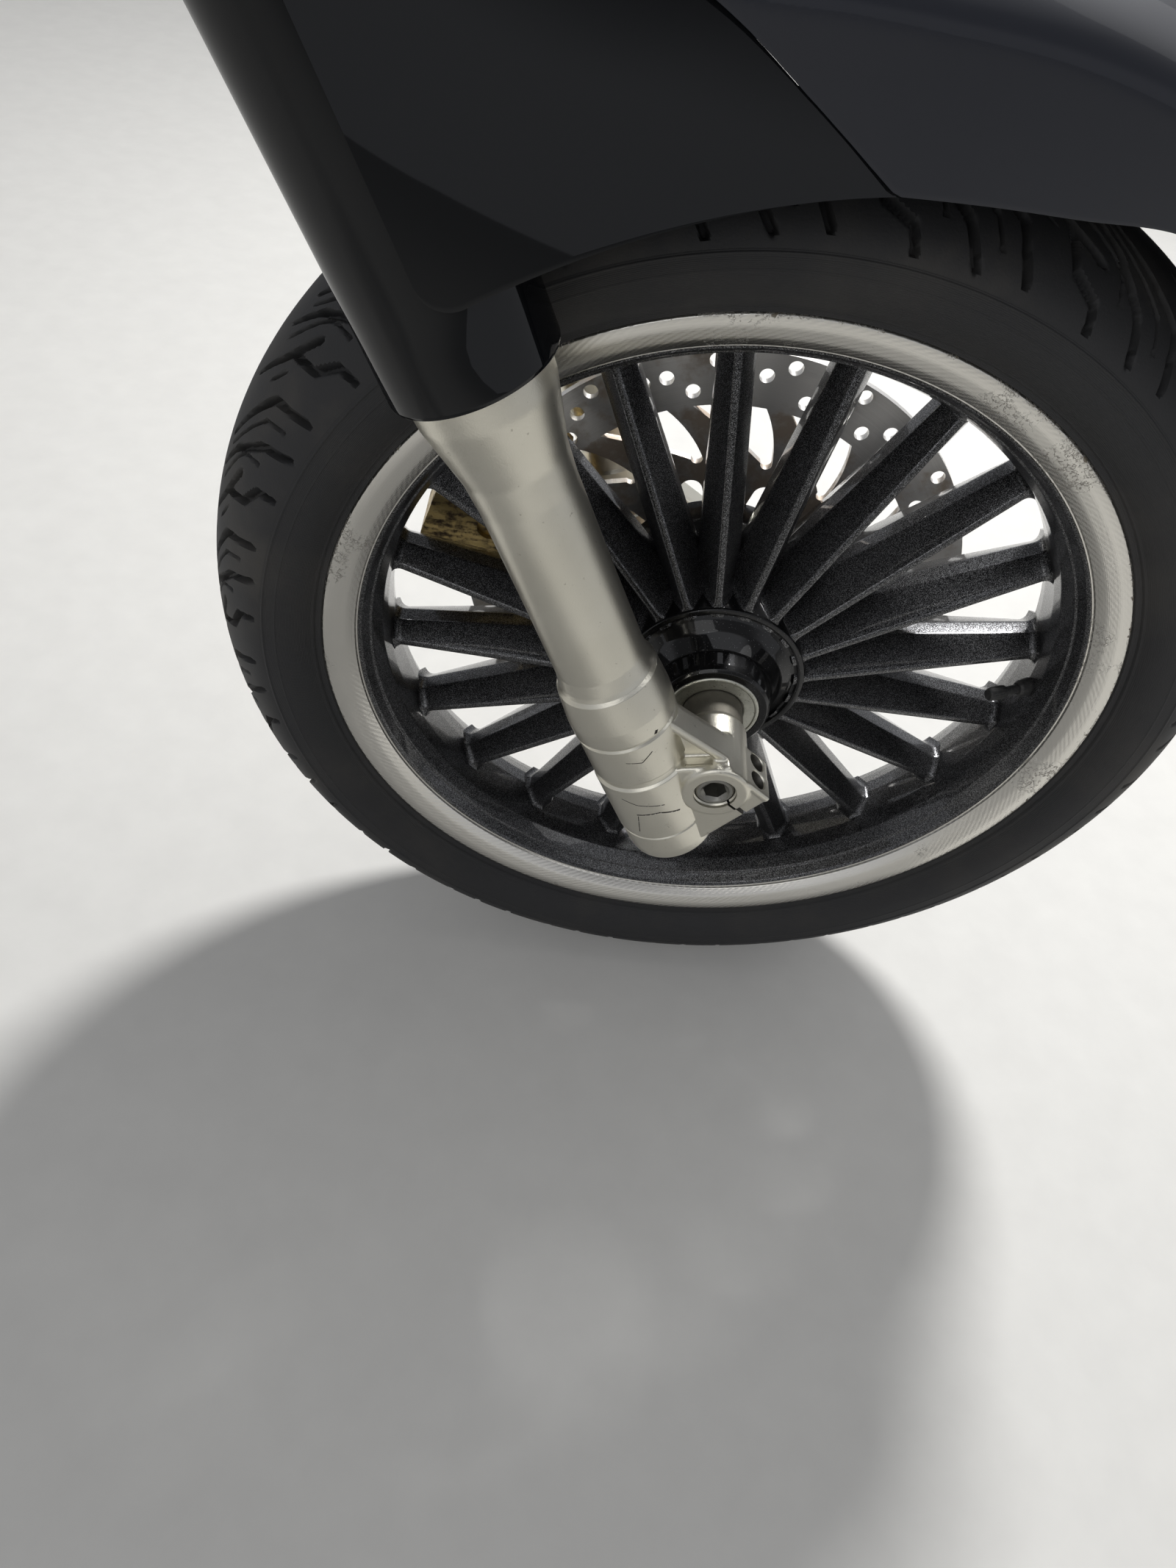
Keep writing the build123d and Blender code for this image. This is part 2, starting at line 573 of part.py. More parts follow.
def dust_seal():
    top = up(SLIDER_PROFILE[-1][0])
    foot = top - SEAL_SEAT_DEPTH
    inner = STANCHION_RADIUS + 0.1
    outer = SEAL_SEAT_RADIUS - 0.1
    points = [(inner, foot), (outer, foot), (outer, top), (outer + 3, top), (outer + 2, top + 3),
              (inner + 1.2, top + 6), (inner, top + 6)]
    return about_leg(points)


def about_leg(points):
    """Solid of revolution about Z from a closed outline of (radius, z) points."""
    face = make_face(Polyline(*[(r, 0, z) for r, z in points], close=True))
    return revolve(face, Axis.Z, 360)


def steering_stem():
    points = [(STEM_BORE_RADIUS, -CROWN_THICKNESS), (STEM_PRESS_RADIUS, -CROWN_THICKNESS),
              (STEM_PRESS_RADIUS, 0), (STEM_SEAT_RADIUS, 0), (STEM_SEAT_RADIUS, STEM_SEAT_LENGTH),
              (STEM_TUBE_RADIUS, STEM_SEAT_LENGTH + 2), (STEM_TUBE_RADIUS, STEM_TOP_SEAT - 3),
              (STEM_TOP_RADIUS, STEM_TOP_SEAT), (STEM_TOP_RADIUS, STEM_LENGTH - 1.5),
              (STEM_TOP_RADIUS - 1.5, STEM_LENGTH), (STEM_BORE_RADIUS, STEM_LENGTH)]
    return about_leg(points)


def fork_crown():
    """Lower yoke: the stem's boss, two arms and a slotted clamp round each stanchion."""
    middle = -CROWN_THICKNESS / 2
    body = Pos(0, 0, middle) * Cylinder(CROWN_HUB_RADIUS, CROWN_THICKNESS)
    cuts = [Pos(0, 0, middle) * Cylinder(STEM_PRESS_RADIUS, CROWN_THICKNESS + 2)]
    back = LEG_LEAD - CROWN_BOSS_RADIUS - CROWN_EAR_REACH
    for side in (-1, 1):
        y = side * LEG_Y
        boss = Pos(LEG_LEAD, y, middle) * Cylinder(CROWN_BOSS_RADIUS, CROWN_THICKNESS)
        ear = block(back, LEG_LEAD - STANCHION_RADIUS - 1, y - CROWN_EAR_HALF, y + CROWN_EAR_HALF,
                    -CROWN_THICKNESS + 2, -2)
        body = body + side_arm(side) + boss + ear
        cuts.append(Pos(LEG_LEAD, y, middle) * Cylinder(STANCHION_RADIUS, CROWN_THICKNESS + 2))
        cuts.append(block(back - 2, LEG_LEAD - STANCHION_RADIUS + 4, y - CROWN_SLOT / 2, y + CROWN_SLOT / 2,
                          -CROWN_THICKNESS - 1, 1))
        x, z = crown_bolt_place()
        cuts.append(rod_y(CROWN_BOLT_RADIUS + BOLT_FIT, y - 20, y + 20, x=x, z=z))
    return body - cuts


def side_arm(side):
    """Tapered arm from the stem's boss to a leg's boss."""
    y = side * LEG_Y
    hub_half = CROWN_HUB_RADIUS - 3
    boss_half = CROWN_BOSS_RADIUS - 5
    face = make_face(Polyline((-hub_half, 0, 0), (LEG_LEAD - boss_half, y, 0), (LEG_LEAD + boss_half, y, 0),
                              (hub_half, 0, 0), close=True))
    return Pos(0, 0, -CROWN_THICKNESS + CROWN_WEB_INSET) * extrude(
        face, amount=CROWN_THICKNESS - 2 * CROWN_WEB_INSET, dir=(0, 0, 1))


def crown_bolt_place():
    """X and Z of the pinch bolt behind each leg."""
    return (LEG_LEAD - CROWN_BOSS_RADIUS - CROWN_BOLT_BACK, -CROWN_THICKNESS / 2)


def crown_bolt(side):
    x, z = crown_bolt_place()
    y = side * LEG_Y
    seat = y + side * CROWN_EAR_HALF
    shank = rod_y(CROWN_BOLT_RADIUS, y - side * CROWN_BOLT_REACH, seat, x=x, z=z)
    head = rod_y(CROWN_BOLT_HEAD_RADIUS, seat, seat + side * CROWN_BOLT_HEAD_LENGTH, x=x, z=z)
    return shank + head


def axle():
    rod = rod_y(AXLE_RADIUS, AXLE_RIGHT_END, AXLE_LEFT_END)
    hexagon = Rot(90, 0, 0) * RegularPolygon(AXLE_HEX / 2, 6, major_radius=False)
    socket = extrude(Pos(0, AXLE_RIGHT_END, 0) * hexagon, amount=AXLE_HEX_DEPTH, dir=(0, 1, 0))
    return rod - socket


def spacer(side):
    y_from = side * (BEARING_OUTSIDE + SPACER_GAP)
    y_to = side * BOSS_INSIDE
    low, high = sorted((y_from, y_to))
    return ring_y(AXLE_RADIUS, SPACER_RADIUS, low, high)


# Brake caliper
def caliper():
    """One body round the disc, drawn with its middle on +X of the wheel."""
    r0 = CALIPER_INNER_RADIUS
    r1 = CALIPER_OUTER_RADIUS
    half = CALIPER_LENGTH / 2
    outline = [(r0 + 6, -half + 10), (r0, -half + 26), (r0, half - 26), (r0 + 6, half - 10),
               (r0 + 22, half - 3), (r1 - 20, half), (r1 - 8, half - 6), (r1, half - 22),
               (r1, -half + 22), (r1 - 8, -half + 6), (r1 - 20, -half), (r0 + 22, -half + 3)]
    body = side_outline(outline, CALIPER_INBOARD, CALIPER_OUTBOARD)
    pistons = CALIPER_OUTBOARD + PISTON_BOSS_RISE
    for along in (-PISTON_OFFSET, PISTON_OFFSET):
        body = body + rod_y(PISTON_BOSS_RADIUS, CALIPER_OUTBOARD - 4, pistons, x=PISTON_RADIUS, z=along)
        body = body + rod_y(PISTON_BOSS_RADIUS - 4, pistons - 1, pistons + 2, x=PISTON_RADIUS, z=along)
    foot = CALIPER_OUTBOARD - LUG_DEPTH
    for along in EAR_OFFSETS:
        lug = block(EAR_RADIUS, r0 + 12, foot, CALIPER_OUTBOARD, along - EAR_BOSS, along + EAR_BOSS)
        boss = rod_y(EAR_BOSS, foot, CALIPER_OUTBOARD, x=EAR_RADIUS, z=along)
        body = body + lug + boss
        hole = rod_y(CALIPER_BOLT_RADIUS + BOLT_FIT, foot + 2, CALIPER_OUTBOARD + 1, x=EAR_RADIUS, z=along)
        body = body - hole
    middle = DISC_PLANE + DISC_THICKNESS / 2
    slot_half = DISC_THICKNESS / 2 + PAD_GAP + PAD_THICKNESS + PAD_SEAT
    pad_half = PAD_LENGTH / 2 + PAD_SEAT
    slot = rod_y(DISC_RADIUS + 5, middle - DISC_SLOT / 2, middle + DISC_SLOT / 2)
    window = block(r0 - 2, r1 - 14, middle - slot_half, middle + slot_half, -pad_half, pad_half)
    for radius, x, z, depth in CALIPER_BORES:
        body = body - rod_y(radius, CALIPER_INBOARD - 1, CALIPER_INBOARD + depth, x=x, z=z)
    return body - slot - window


def pad(side):
    """Friction pad with its back plate, on one face of the disc."""
    middle = DISC_PLANE + DISC_THICKNESS / 2
    face = middle + side * (DISC_THICKNESS / 2 + PAD_GAP)
    low, high = sorted((face, face + side * PAD_THICKNESS))
    return block(CALIPER_INNER_RADIUS + 8, DISC_RADIUS - 1, low, high, -PAD_LENGTH / 2, PAD_LENGTH / 2)


# Mudguard
def cover_tube(side):
    """Leg cover with a ring inside its foot that sits on the slider, and a lid with a hole on top."""
    def slice_of(radius, low, high):
        return Pos(LEG_LEAD, side * LEG_Y, up((low + high) / 2)) * Cylinder(radius, high - low)

    inside = COVER_RADIUS - COVER_WALL
    bell = SLIDER_PROFILE[-1][1]
    tube = slice_of(COVER_RADIUS, COVER_FOOT, COVER_TOP)
    tube = tube - slice_of(inside, COVER_FOOT - 1, COVER_TOP - COVER_WALL)
    tube = tube - slice_of(STANCHION_RADIUS + COVER_TOP_GAP, COVER_TOP - COVER_WALL - 1, COVER_TOP + 1)
    ring = slice_of(inside + 1, COVER_RING_FOOT, COVER_RING_FOOT + 3)
    return tube + ring - slice_of(bell + COVER_FIT, COVER_RING_FOOT - 1, COVER_RING_FOOT + 4)


def panel_section(height, bend_y, nose_y):
    """Level slice of a side panel's wall: an arc from the leg cover's outermost line to the nose."""
    start_y = LEG_Y + COVER_RADIUS
    z = up(height)

    def arc(inset):
        return ThreePointArc((LEG_LEAD, start_y - inset, z), (PANEL_BEND_X, bend_y - inset, z),
                             (PANEL_NOSE_X, nose_y - inset, z))

    outer = arc(0)
    inner = arc(GUARD_WALL)
    return make_face([outer, inner, Line(outer @ 0, inner @ 0), Line(outer @ 1, inner @ 1)])


def below_seam(gap, y_from, y_to):
    """Side view of what the panels cover, grown by a gap past the seam."""
    seam = [(x + gap, up(height + gap)) for x, height in PANEL_SEAM]
    back_x = seam[-1][0] - gap
    front_x = seam[0][0]
    return side_outline(seam + [(back_x, up(PANEL_LOW)), (front_x, up(PANEL_LOW))], y_from, y_to)


def side_panel(side):
    """Cheek of the mudguard, moulded in one with the leg cover."""
    wall = loft([panel_section(*row) for row in PANEL_SECTIONS])
    wall = wall & below_seam(0, 0, LEG_SPACING)
    wall = wall - AT_AXLE * rod_y(GUARD_EDGE_RADIUS, 0, LEG_SPACING)
    tube_middle = (COVER_FOOT + COVER_TOP) / 2
    inside = Cylinder(COVER_RADIUS - COVER_WALL, 2 * (COVER_TOP - COVER_FOOT))
    wall = wall - Pos(LEG_LEAD, LEG_Y, up(tube_middle)) * inside
    if side < 0:
        wall = mirror(wall, Plane.XZ)
    return wall + cover_tube(side)


def guard_section(angle, edge, edge_half, shoulder, shoulder_half, crown):
    """Slice of the arch across the wheel at an angle from +X: sides and a rounded top."""
    def top_point(inset, turn):
        rise = (crown - inset - shoulder) * math.sin(math.radians(turn))
        reach = (shoulder_half - inset) * math.cos(math.radians(turn))
        return (shoulder + rise, reach)

    def outline(inset):
        corner = top_point(inset, 0)
        knee = top_point(inset, GUARD_KNEE)
        half_knee = top_point(inset, GUARD_KNEE / 2)
        foot = (edge, edge_half - inset)

        def over(point):
            return (point[0], -point[1])

        edges = [Line(foot, corner), ThreePointArc(corner, half_knee, knee),
                 ThreePointArc(knee, (crown - inset, 0), over(knee)),
                 ThreePointArc(over(knee), over(half_knee), over(corner)), Line(over(corner), over(foot))]
        return edges

    outer = outline(0)
    inner = outline(GUARD_WALL)
    ends = [Line(outer[0] @ 0, inner[0] @ 0), Line(outer[-1] @ 1, inner[-1] @ 1)]
    return turn_y(angle) * make_face(outer + inner + ends)


def mudguard_front():
    """Arch over the tyre, from its slim front tip back to the legs; its sides end at the panels' seam."""
    arch = loft([guard_section(*row) for row in GUARD_SECTIONS])
    arch = AT_AXLE * turn_y(-RAKE) * arch
    for low, high in ((GUARD_INSIDE, LEG_SPACING), (-LEG_SPACING, -GUARD_INSIDE)):
        arch = arch - below_seam(SEAM_GAP, low, high)
    return arch


def build():
    """Make every piece in its own place."""
    add("tyre", AT_AXLE * tyre())
    add("cast_wheel", AT_AXLE * cast_wheel())
    add("brake_disc", AT_AXLE * brake_disc())
    add("disc_bolts", AT_AXLE * disc_bolts())
    inside = BEARING_OUTSIDE - BEARING_WIDTH
    bearing_bore = AXLE_RADIUS + RUNNING_FIT
    seal_bore = SPACER_RADIUS + 0.3
    for name, side in (("right", -1), ("left", 1)):
        low, high = sorted((side * inside, side * BEARING_OUTSIDE))
        add("wheel_bearing_" + name, AT_AXLE * ring_y(bearing_bore, BEARING_OUTER_RADIUS, low, high))
        low, high = sorted((side * BEARING_OUTSIDE, side * (BEARING_OUTSIDE + SEAL_THICKNESS)))
        add("hub_seal_" + name, AT_AXLE * ring_y(seal_bore, SEAL_RADIUS - 0.1, low, high))
    add("valve", AT_AXLE * valve())
    add("axle", AT_AXLE * axle())
    for name, side in (("right", -1), ("left", 1)):
        add("axle_spacer_" + name, AT_AXLE * spacer(side))
        add("slider_" + name, slider(side))
        add("stanchion_" + name, Pos(LEG_LEAD, side * LEG_Y, 0) * stanchion())
        add("dust_seal_" + name, Pos(LEG_LEAD, side * LEG_Y, 0) * dust_seal())
        add("mudguard_side_" + name, side_panel(side))
        add("crown_bolt_" + name, crown_bolt(side))
    add("mudguard_front", mudguard_front())
    add("clamp_bolts", clamp_bolts())
    add("steering_stem", steering_stem())
    add("fork_crown", fork_crown())
    add("brake_caliper", AT_AXLE * turn_y(CALIPER_ANGLE) * caliper())
    add("caliper_bolts", caliper_bolts())
    add("brake_pad_inboard", AT_AXLE * turn_y(CALIPER_ANGLE) * pad(-1))
    add("brake_pad_outboard", AT_AXLE * turn_y(CALIPER_ANGLE) * pad(1))


build()
os.makedirs("parts", exist_ok=True)
for name, shape in parts.items():
    export_step(LEAN * shape, f"parts/{name}.step")
    print(name, round(shape.volume))
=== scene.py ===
# %% [markdown]
# This script dresses the front wheel and fork of a motor scooter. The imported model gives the
# solids and the bodies that move, and every piece made here goes in that same frame, in metres.
# Wheel pieces are drawn about the axle and fork pieces about an upright leg, in millimetres,
# because that is how a workshop drawing gives them. One matrix each then carries them home.

import json
import math

import bmesh
import bpy
import numpy as np
from mathutils import Matrix, Vector


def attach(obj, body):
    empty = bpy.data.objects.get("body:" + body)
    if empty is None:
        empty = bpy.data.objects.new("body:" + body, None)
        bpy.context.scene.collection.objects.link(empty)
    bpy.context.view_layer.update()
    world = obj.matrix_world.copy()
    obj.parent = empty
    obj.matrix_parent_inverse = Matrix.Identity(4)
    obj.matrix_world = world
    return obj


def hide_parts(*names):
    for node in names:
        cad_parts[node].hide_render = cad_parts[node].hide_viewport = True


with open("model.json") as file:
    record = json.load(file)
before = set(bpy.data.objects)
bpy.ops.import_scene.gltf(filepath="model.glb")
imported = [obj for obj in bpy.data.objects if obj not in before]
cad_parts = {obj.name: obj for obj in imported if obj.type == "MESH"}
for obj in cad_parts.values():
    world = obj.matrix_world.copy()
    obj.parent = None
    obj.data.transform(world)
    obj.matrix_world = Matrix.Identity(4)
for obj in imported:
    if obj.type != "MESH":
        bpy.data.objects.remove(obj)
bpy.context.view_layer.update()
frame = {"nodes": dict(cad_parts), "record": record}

# %% Places
MM = 0.001
RAKE = math.radians(26.5)
SEAT_HEIGHT = 500.0
LEG_LEAD = 16.0
LEG_Y = 95.0
AXLE_AHEAD = 34.0          # of a leg's centre line
BELL_TOP = 250.0           # top of a lower leg, above the axle
COVER_FOOT = 241.0         # lower edge of a leg cover, above the axle
AXLE = Vector(frame["record"]["behaviour"]["joints"][0]["pos_m"])
RIGHT = -1
LEFT = 1
SIDES = {"right": RIGHT, "left": LEFT}

WHEEL = Matrix.Translation(AXLE) @ Matrix.Scale(MM, 4)
FORK = Matrix.Rotation(-RAKE, 4, "Y") @ Matrix.Scale(MM, 4)


def leg_place(side):
    """Upright leg: height above the axle along Z, X forward, origin on the leg's centre line."""
    return FORK @ Matrix.Translation((LEG_LEAD, side * LEG_Y, -SEAT_HEIGHT))


def facing(side):
    """Carries a piece drawn up Z so that Z points to one side of the scooter."""
    return Matrix.Rotation(math.radians(-90 * side), 4, "X")


def turned(degrees):
    """Turn about the wheel's axle that carries +X towards +Z."""
    return Matrix.Rotation(-math.radians(degrees), 4, "Y")


AXLE_ON_FORK = FORK @ Matrix.Translation((LEG_LEAD + AXLE_AHEAD, 0, -SEAT_HEIGHT))
print("axle", [round(v, 4) for v in AXLE])

# %% [markdown]
# The camera stands where the photographer held the phone: close to the right fork leg and
# looking down at the wheel. A wide 24 mm lens so near makes the front of the tyre large.
# The three rows below are the picture's right, down and forward directions.

# %% Camera
VIEW_RIGHT = (0.98875, 0.0536, 0.13966)
VIEW_DOWN = (0.13044, -0.76599, -0.62948)
VIEW_FORWARD = (0.07324, 0.64062, -0.76436)
CAMERA_PLACE = (0.16335, -0.4585, -0.02046)

camera_data = bpy.data.cameras.new("camera")
camera_data.lens = 24
camera_data.sensor_width = 36
camera_data.clip_start = 0.01
camera = bpy.data.objects.new("camera", camera_data)
bpy.context.scene.collection.objects.link(camera)
columns = [Vector(VIEW_RIGHT), -Vector(VIEW_DOWN), -Vector(VIEW_FORWARD)]
camera.matrix_world = Matrix.Translation(CAMERA_PLACE) @ Matrix(columns).transposed().to_4x4()
bpy.context.scene.camera = camera
bpy.context.scene.view_settings.view_transform = "Standard"

# %% [markdown]
# Materials are written as small sums. A Wire wraps a socket, so that `1 - mask` or
# `mask * 0.5` adds its own Math nodes, and Finish.node makes any other node from its type,
# its settings and what goes into it. Nothing else is needed to read the recipes further down.

# %% Wires and finishes
class Wire:
    """A number socket that takes Python's own operators."""

    def __init__(self, finish, socket):
        self.finish = finish
        self.socket = socket

    def math(self, operation, *others):
        inputs = {0: self}
        inputs.update({i + 1: other for i, other in enumerate(others)})
        return self.finish.node("ShaderNodeMath", {"operation": operation}, inputs)

    def flipped(self, operation, other):
        return self.finish.node("ShaderNodeMath", {"operation": operation}, {0: other, 1: self})

    def __add__(self, other):
        return self.math("ADD", other)

    def __sub__(self, other):
        return self.math("SUBTRACT", other)

    def __mul__(self, other):
        return self.math("MULTIPLY", other)

    def __radd__(self, other):
        return self.flipped("ADD", other)

    def __rsub__(self, other):
        return self.flipped("SUBTRACT", other)

    def __rmul__(self, other):
        return self.flipped("MULTIPLY", other)

    def clamped(self):
        return self.finish.node("ShaderNodeClamp", {}, {"Value": self})

    def band(self, low, high):
        """0 below low, 1 above high and a soft rise between."""
        sockets = {"Value": self, "From Min": low, "From Max": high}
        return self.finish.node("ShaderNodeMapRange", {"interpolation_type": "SMOOTHSTEP"}, sockets)

    def above(self, level):
        return self.math("GREATER_THAN", level)


class Finish:
    """One material or surround: its node tree, its shader and the maths that feeds it."""

    def __init__(self, name, owner=None):
        self.material = owner or bpy.data.materials.new(name)
        self.material.use_nodes = True
        self.tree = self.material.node_tree
        self.shader = self.tree.nodes.get("Principled BSDF") or self.tree.nodes["Background"]

    def node(self, kind, settings=None, sockets=None, out=0):
        made = self.tree.nodes.new(kind)
        for key, value in (settings or {}).items():
            setattr(made, key, value)
        for key, value in (sockets or {}).items():
            self.plug(made.inputs[key], value)
        return Wire(self, made.outputs[out])

    def plug(self, socket, value):
        if isinstance(value, Wire):
            self.tree.links.new(value.socket, socket)
        elif socket.type == "RGBA" and len(value) == 3:
            socket.default_value = (*value, 1)
        else:
            socket.default_value = value

    def feed(self, **values):
        """Feed the shader's sockets; a name's underscores stand for blanks."""
        for name, value in values.items():
            self.plug(self.shader.inputs[name.replace("_", " ")], value)
        return self

    def mixed(self, factor, first, second):
        """Colour between two colours."""
        return self.node("ShaderNodeMix", {"data_type": "RGBA"}, {0: factor, 6: first, 7: second}, out=2)

    def place(self):
        """The point on the surface, in metres, in the object's own frame."""
        return self.node("ShaderNodeTexCoord", {}, {}, out="Object")

    def stretched(self, scale, spin):
        """The same point after a turn and a stretch."""
        sockets = {"Vector": self.place(), "Rotation": spin, "Scale": scale}
        return self.node("ShaderNodeMapping", {}, sockets)

    def noise(self, scale, detail=3.0, roughness=0.55, at=None):
        sockets = {"Vector": at or self.place(), "Scale": scale, "Detail": detail, "Roughness": roughness}
        return self.node("ShaderNodeTexNoise", {}, sockets)

    def cell_colours(self, size):
        """A random colour for each small cell, about size metres across."""
        sockets = {"Vector": self.place(), "Scale": 1 / size}
        return self.node("ShaderNodeTexVoronoi", {}, sockets, out="Color")

    def split(self, vector):
        """X, Y and Z of a vector, as wires."""
        made = self.node("ShaderNodeSeparateXYZ", {}, {"Vector": vector})
        outputs = made.socket.node.outputs
        return [Wire(self, outputs[i]) for i in range(3)]

    def joined(self, x, y, z):
        return self.node("ShaderNodeCombineXYZ", {}, {0: x, 1: y, 2: z})

    def round_the_axle(self):
        """Radius in metres, and the angle in turns, about the wheel's axle."""
        shift = self.node("ShaderNodeVectorMath", {"operation": "SUBTRACT"}, {0: self.place(), 1: AXLE})
        x, _, z = self.split(shift)
        radius = (x * x + z * z).math("SQRT")
        return radius, z.math("ARCTAN2", x) * (1 / (2 * math.pi))

    def bump(self, height, distance, strength=1.0):
        sockets = {"Height": height, "Distance": distance, "Strength": strength}
        return self.node("ShaderNodeBump", {}, sockets)


# %% [markdown]
# Rubber is dull and nearly black, but never one flat black: dust lies in the tread, and
# the side wall has faint turned rings from its mould. Low contrast noise does the first,
# and a bump that only depends on the radius does the second.

# %% Rubber
def tyre_rubber(name, dust, rings):
    finish = Finish(name)
    radius, _ = finish.round_the_axle()
    grain = finish.noise(900, detail=2)
    cloud = finish.noise(16, detail=5)
    dusty = cloud.band(0.42, 0.75) * dust
    colour = finish.mixed(dusty, (0.021, 0.021, 0.022), (0.085, 0.078, 0.068))
    lines = (radius * 9000).math("SINE") * rings
    height = grain * 0.6 + lines + cloud * 0.5
    finish.feed(Base_Color=colour, Roughness=0.62 + cloud * 0.18, Normal=finish.bump(height, 0.0002))
    return finish.material


TREAD_RUBBER = tyre_rubber("tread_rubber", dust=0.55, rings=0.0)
WALL_RUBBER = tyre_rubber("wall_rubber", dust=0.3, rings=0.25)


def plain_rubber():
    finish = Finish("seal_rubber")
    grain = finish.noise(700)
    colour = finish.mixed(grain.band(0.4, 0.8), (0.018, 0.018, 0.018), (0.05, 0.048, 0.045))
    finish.feed(Base_Color=colour, Roughness=0.6, Normal=finish.bump(grain, 0.00015))
    return finish.material


SEAL_RUBBER = plain_rubber()
print("rubber finishes made")

# %% [markdown]
# The rim's lip is bare turned aluminium that has stood in the weather. Its base is a
# metal with fine rings and slanted chatter marks from the lathe. Its lacquer peels in patches with
# thin dark outlines, which lie where noise crosses one level, and more of them sit near the edge.

# %% Bare lip
LIP_OUTER = 0.2155


def bare_lip():
    finish = Finish("bare_lip")
    radius, angle = finish.round_the_axle()
    shapes = finish.noise(170, detail=7, roughness=0.72)
    specks = finish.noise(900, detail=3)
    region = finish.noise(19, detail=2)
    edge = 1 - (LIP_OUTER - radius).band(0.0, 0.0022)
    peeled = 1 - (shapes - 0.5).math("ABSOLUTE").band(0.004, 0.014)
    peeled = peeled * (region + edge * 0.10).band(0.58, 0.66)
    eaten = (shapes + edge * 0.10).band(0.64, 0.70) * (region + edge * 0.14).band(0.52, 0.62)
    marks = (peeled * 0.8 + eaten).clamped()
    rings = finish.noise(1.0, detail=4, at=finish.joined(radius * 2600, 0.0, 0.0))
    chatter = (radius * (2 * math.pi / 0.0024) + angle * (2 * math.pi * 260)).math("SINE")
    cloud = finish.noise(12, detail=3)
    bare = finish.mixed(rings * 0.6 + cloud * 0.4, (0.55, 0.53, 0.48), (0.84, 0.82, 0.77))
    stained = finish.mixed(specks, (0.12, 0.10, 0.07), (0.34, 0.30, 0.24))
    colour = finish.mixed(marks, bare, stained)
    height = rings * 0.6 + chatter * 0.10 - marks * 1.2 + specks * marks
    finish.feed(Base_Color=colour, Metallic=1 - marks * 0.5, Roughness=0.20 + cloud * 0.10 + marks * 0.35)
    finish.feed(Normal=finish.bump(height, 0.00018))
    return finish.material


BARE_LIP = bare_lip()

# %% [markdown]
# The casting is black with metal flake under a clear lacquer: black where nothing shines
# on it and sparkling grey where light falls. Small Voronoi cells with random colours are the
# flakes, and the shader's coat is the lacquer.

# %% Flake black
def flake_black(name, share, flake_size):
    """Black lacquer with a share of its cells as flakes, each about flake_size metres across."""
    finish = Finish(name)
    red, green, _ = finish.split(finish.cell_colours(flake_size))
    sparkle = red.band(1 - share, 1.0)
    cloud = finish.noise(30)
    dust = finish.noise(300, detail=5).band(0.60, 0.80)
    colour = finish.mixed(sparkle * (green * 0.6 + 0.4), (0.006, 0.006, 0.0065), (0.42, 0.42, 0.43))
    colour = finish.mixed(dust * 0.04, colour, (0.35, 0.33, 0.30))
    finish.feed(Base_Color=colour, Metallic=0.3 + sparkle * 0.6, Roughness=0.34)
    finish.feed(Coat_Weight=0.85 - cloud * 0.3, Coat_Roughness=0.03, Specular_IOR_Level=0.1)
    finish.feed(Normal=finish.bump(cloud, 0.0001, strength=0.3))
    return finish.material


FLAKE_BLACK = flake_black("flake_black", share=0.42, flake_size=0.00022)
HUB_BLACK = flake_black("hub_black", share=0.01, flake_size=0.00022)

# %% [markdown]
# The disc is ground steel that rusts a little after rain. Grinding leaves rings, so the bump
# follows the radius, and brown tints sit in soft clouds.

# %% Steels
def disc_steel():
    finish = Finish("disc_steel")
    radius, angle = finish.round_the_axle()
    rings = finish.noise(1.0, at=finish.joined(angle * 4, radius * 4200, 0.0))
    cloud = finish.noise(45, detail=6, roughness=0.65)
    swept = 1 - (radius - 0.119).band(-0.003, 0.001)
    rust = (cloud + swept * 0.16).band(0.52, 0.74)
    ground = finish.mixed(rings, (0.55, 0.53, 0.50), (0.80, 0.785, 0.76))
    brown = finish.mixed(cloud, (0.20, 0.125, 0.07), (0.48, 0.37, 0.26))
    colour = finish.mixed(rust * 0.75, ground, brown)
    finish.feed(Base_Color=colour, Metallic=0.82 - rust * 0.3, Roughness=0.28 + rings * 0.14 + rust * 0.25)
    finish.feed(Normal=finish.bump(rings + cloud * 0.3, 0.00012))
    return finish.material


def plated_steel(name, tone, roughness, spots):
    """Zinc or chromium plate with a little mottling and dark spots."""
    finish = Finish(name)
    mottle = finish.noise(260, detail=5)
    pits = finish.noise(900, detail=3).band(0.60, 0.74) * spots
    pale = tuple(min(1.0, v * 1.2) for v in tone)
    colour = finish.mixed(mottle.band(0.3, 0.7), tone, pale)
    colour = finish.mixed(pits, colour, (0.11, 0.085, 0.06))
    finish.feed(Base_Color=colour, Metallic=1 - pits * 0.5, Roughness=roughness + mottle * 0.12)
    finish.feed(Normal=finish.bump(mottle - pits, 0.00008))
    return finish.material


DISC_STEEL = disc_steel()
ZINC = plated_steel("zinc_plate", (0.50, 0.50, 0.44), 0.38, 0.9)
SPACER_STEEL = plated_steel("spacer_steel", (0.17, 0.16, 0.135), 0.62, 0.8)
DULL_STEEL = plated_steel("dull_steel", (0.36, 0.35, 0.335), 0.36, 0.5)
BOLT_STEEL = plated_steel("bolt_steel", (0.30, 0.295, 0.285), 0.32, 0.6)
AXLE_STEEL = plated_steel("axle_steel", (0.24, 0.235, 0.215), 0.40, 0.9)
# Dark steel for the clamp bolts; on the right lug's bolt-hole and slot walls the same colour is painted
# shade, with some oxide.
DARK_STEEL_AND_SHADE = plated_steel("dark_steel_and_shade", (0.12, 0.115, 0.105), 0.36, 0.7)
CHROME = plated_steel("hard_chrome", (0.74, 0.74, 0.75), 0.06, 0.08)
print("steel finishes made")

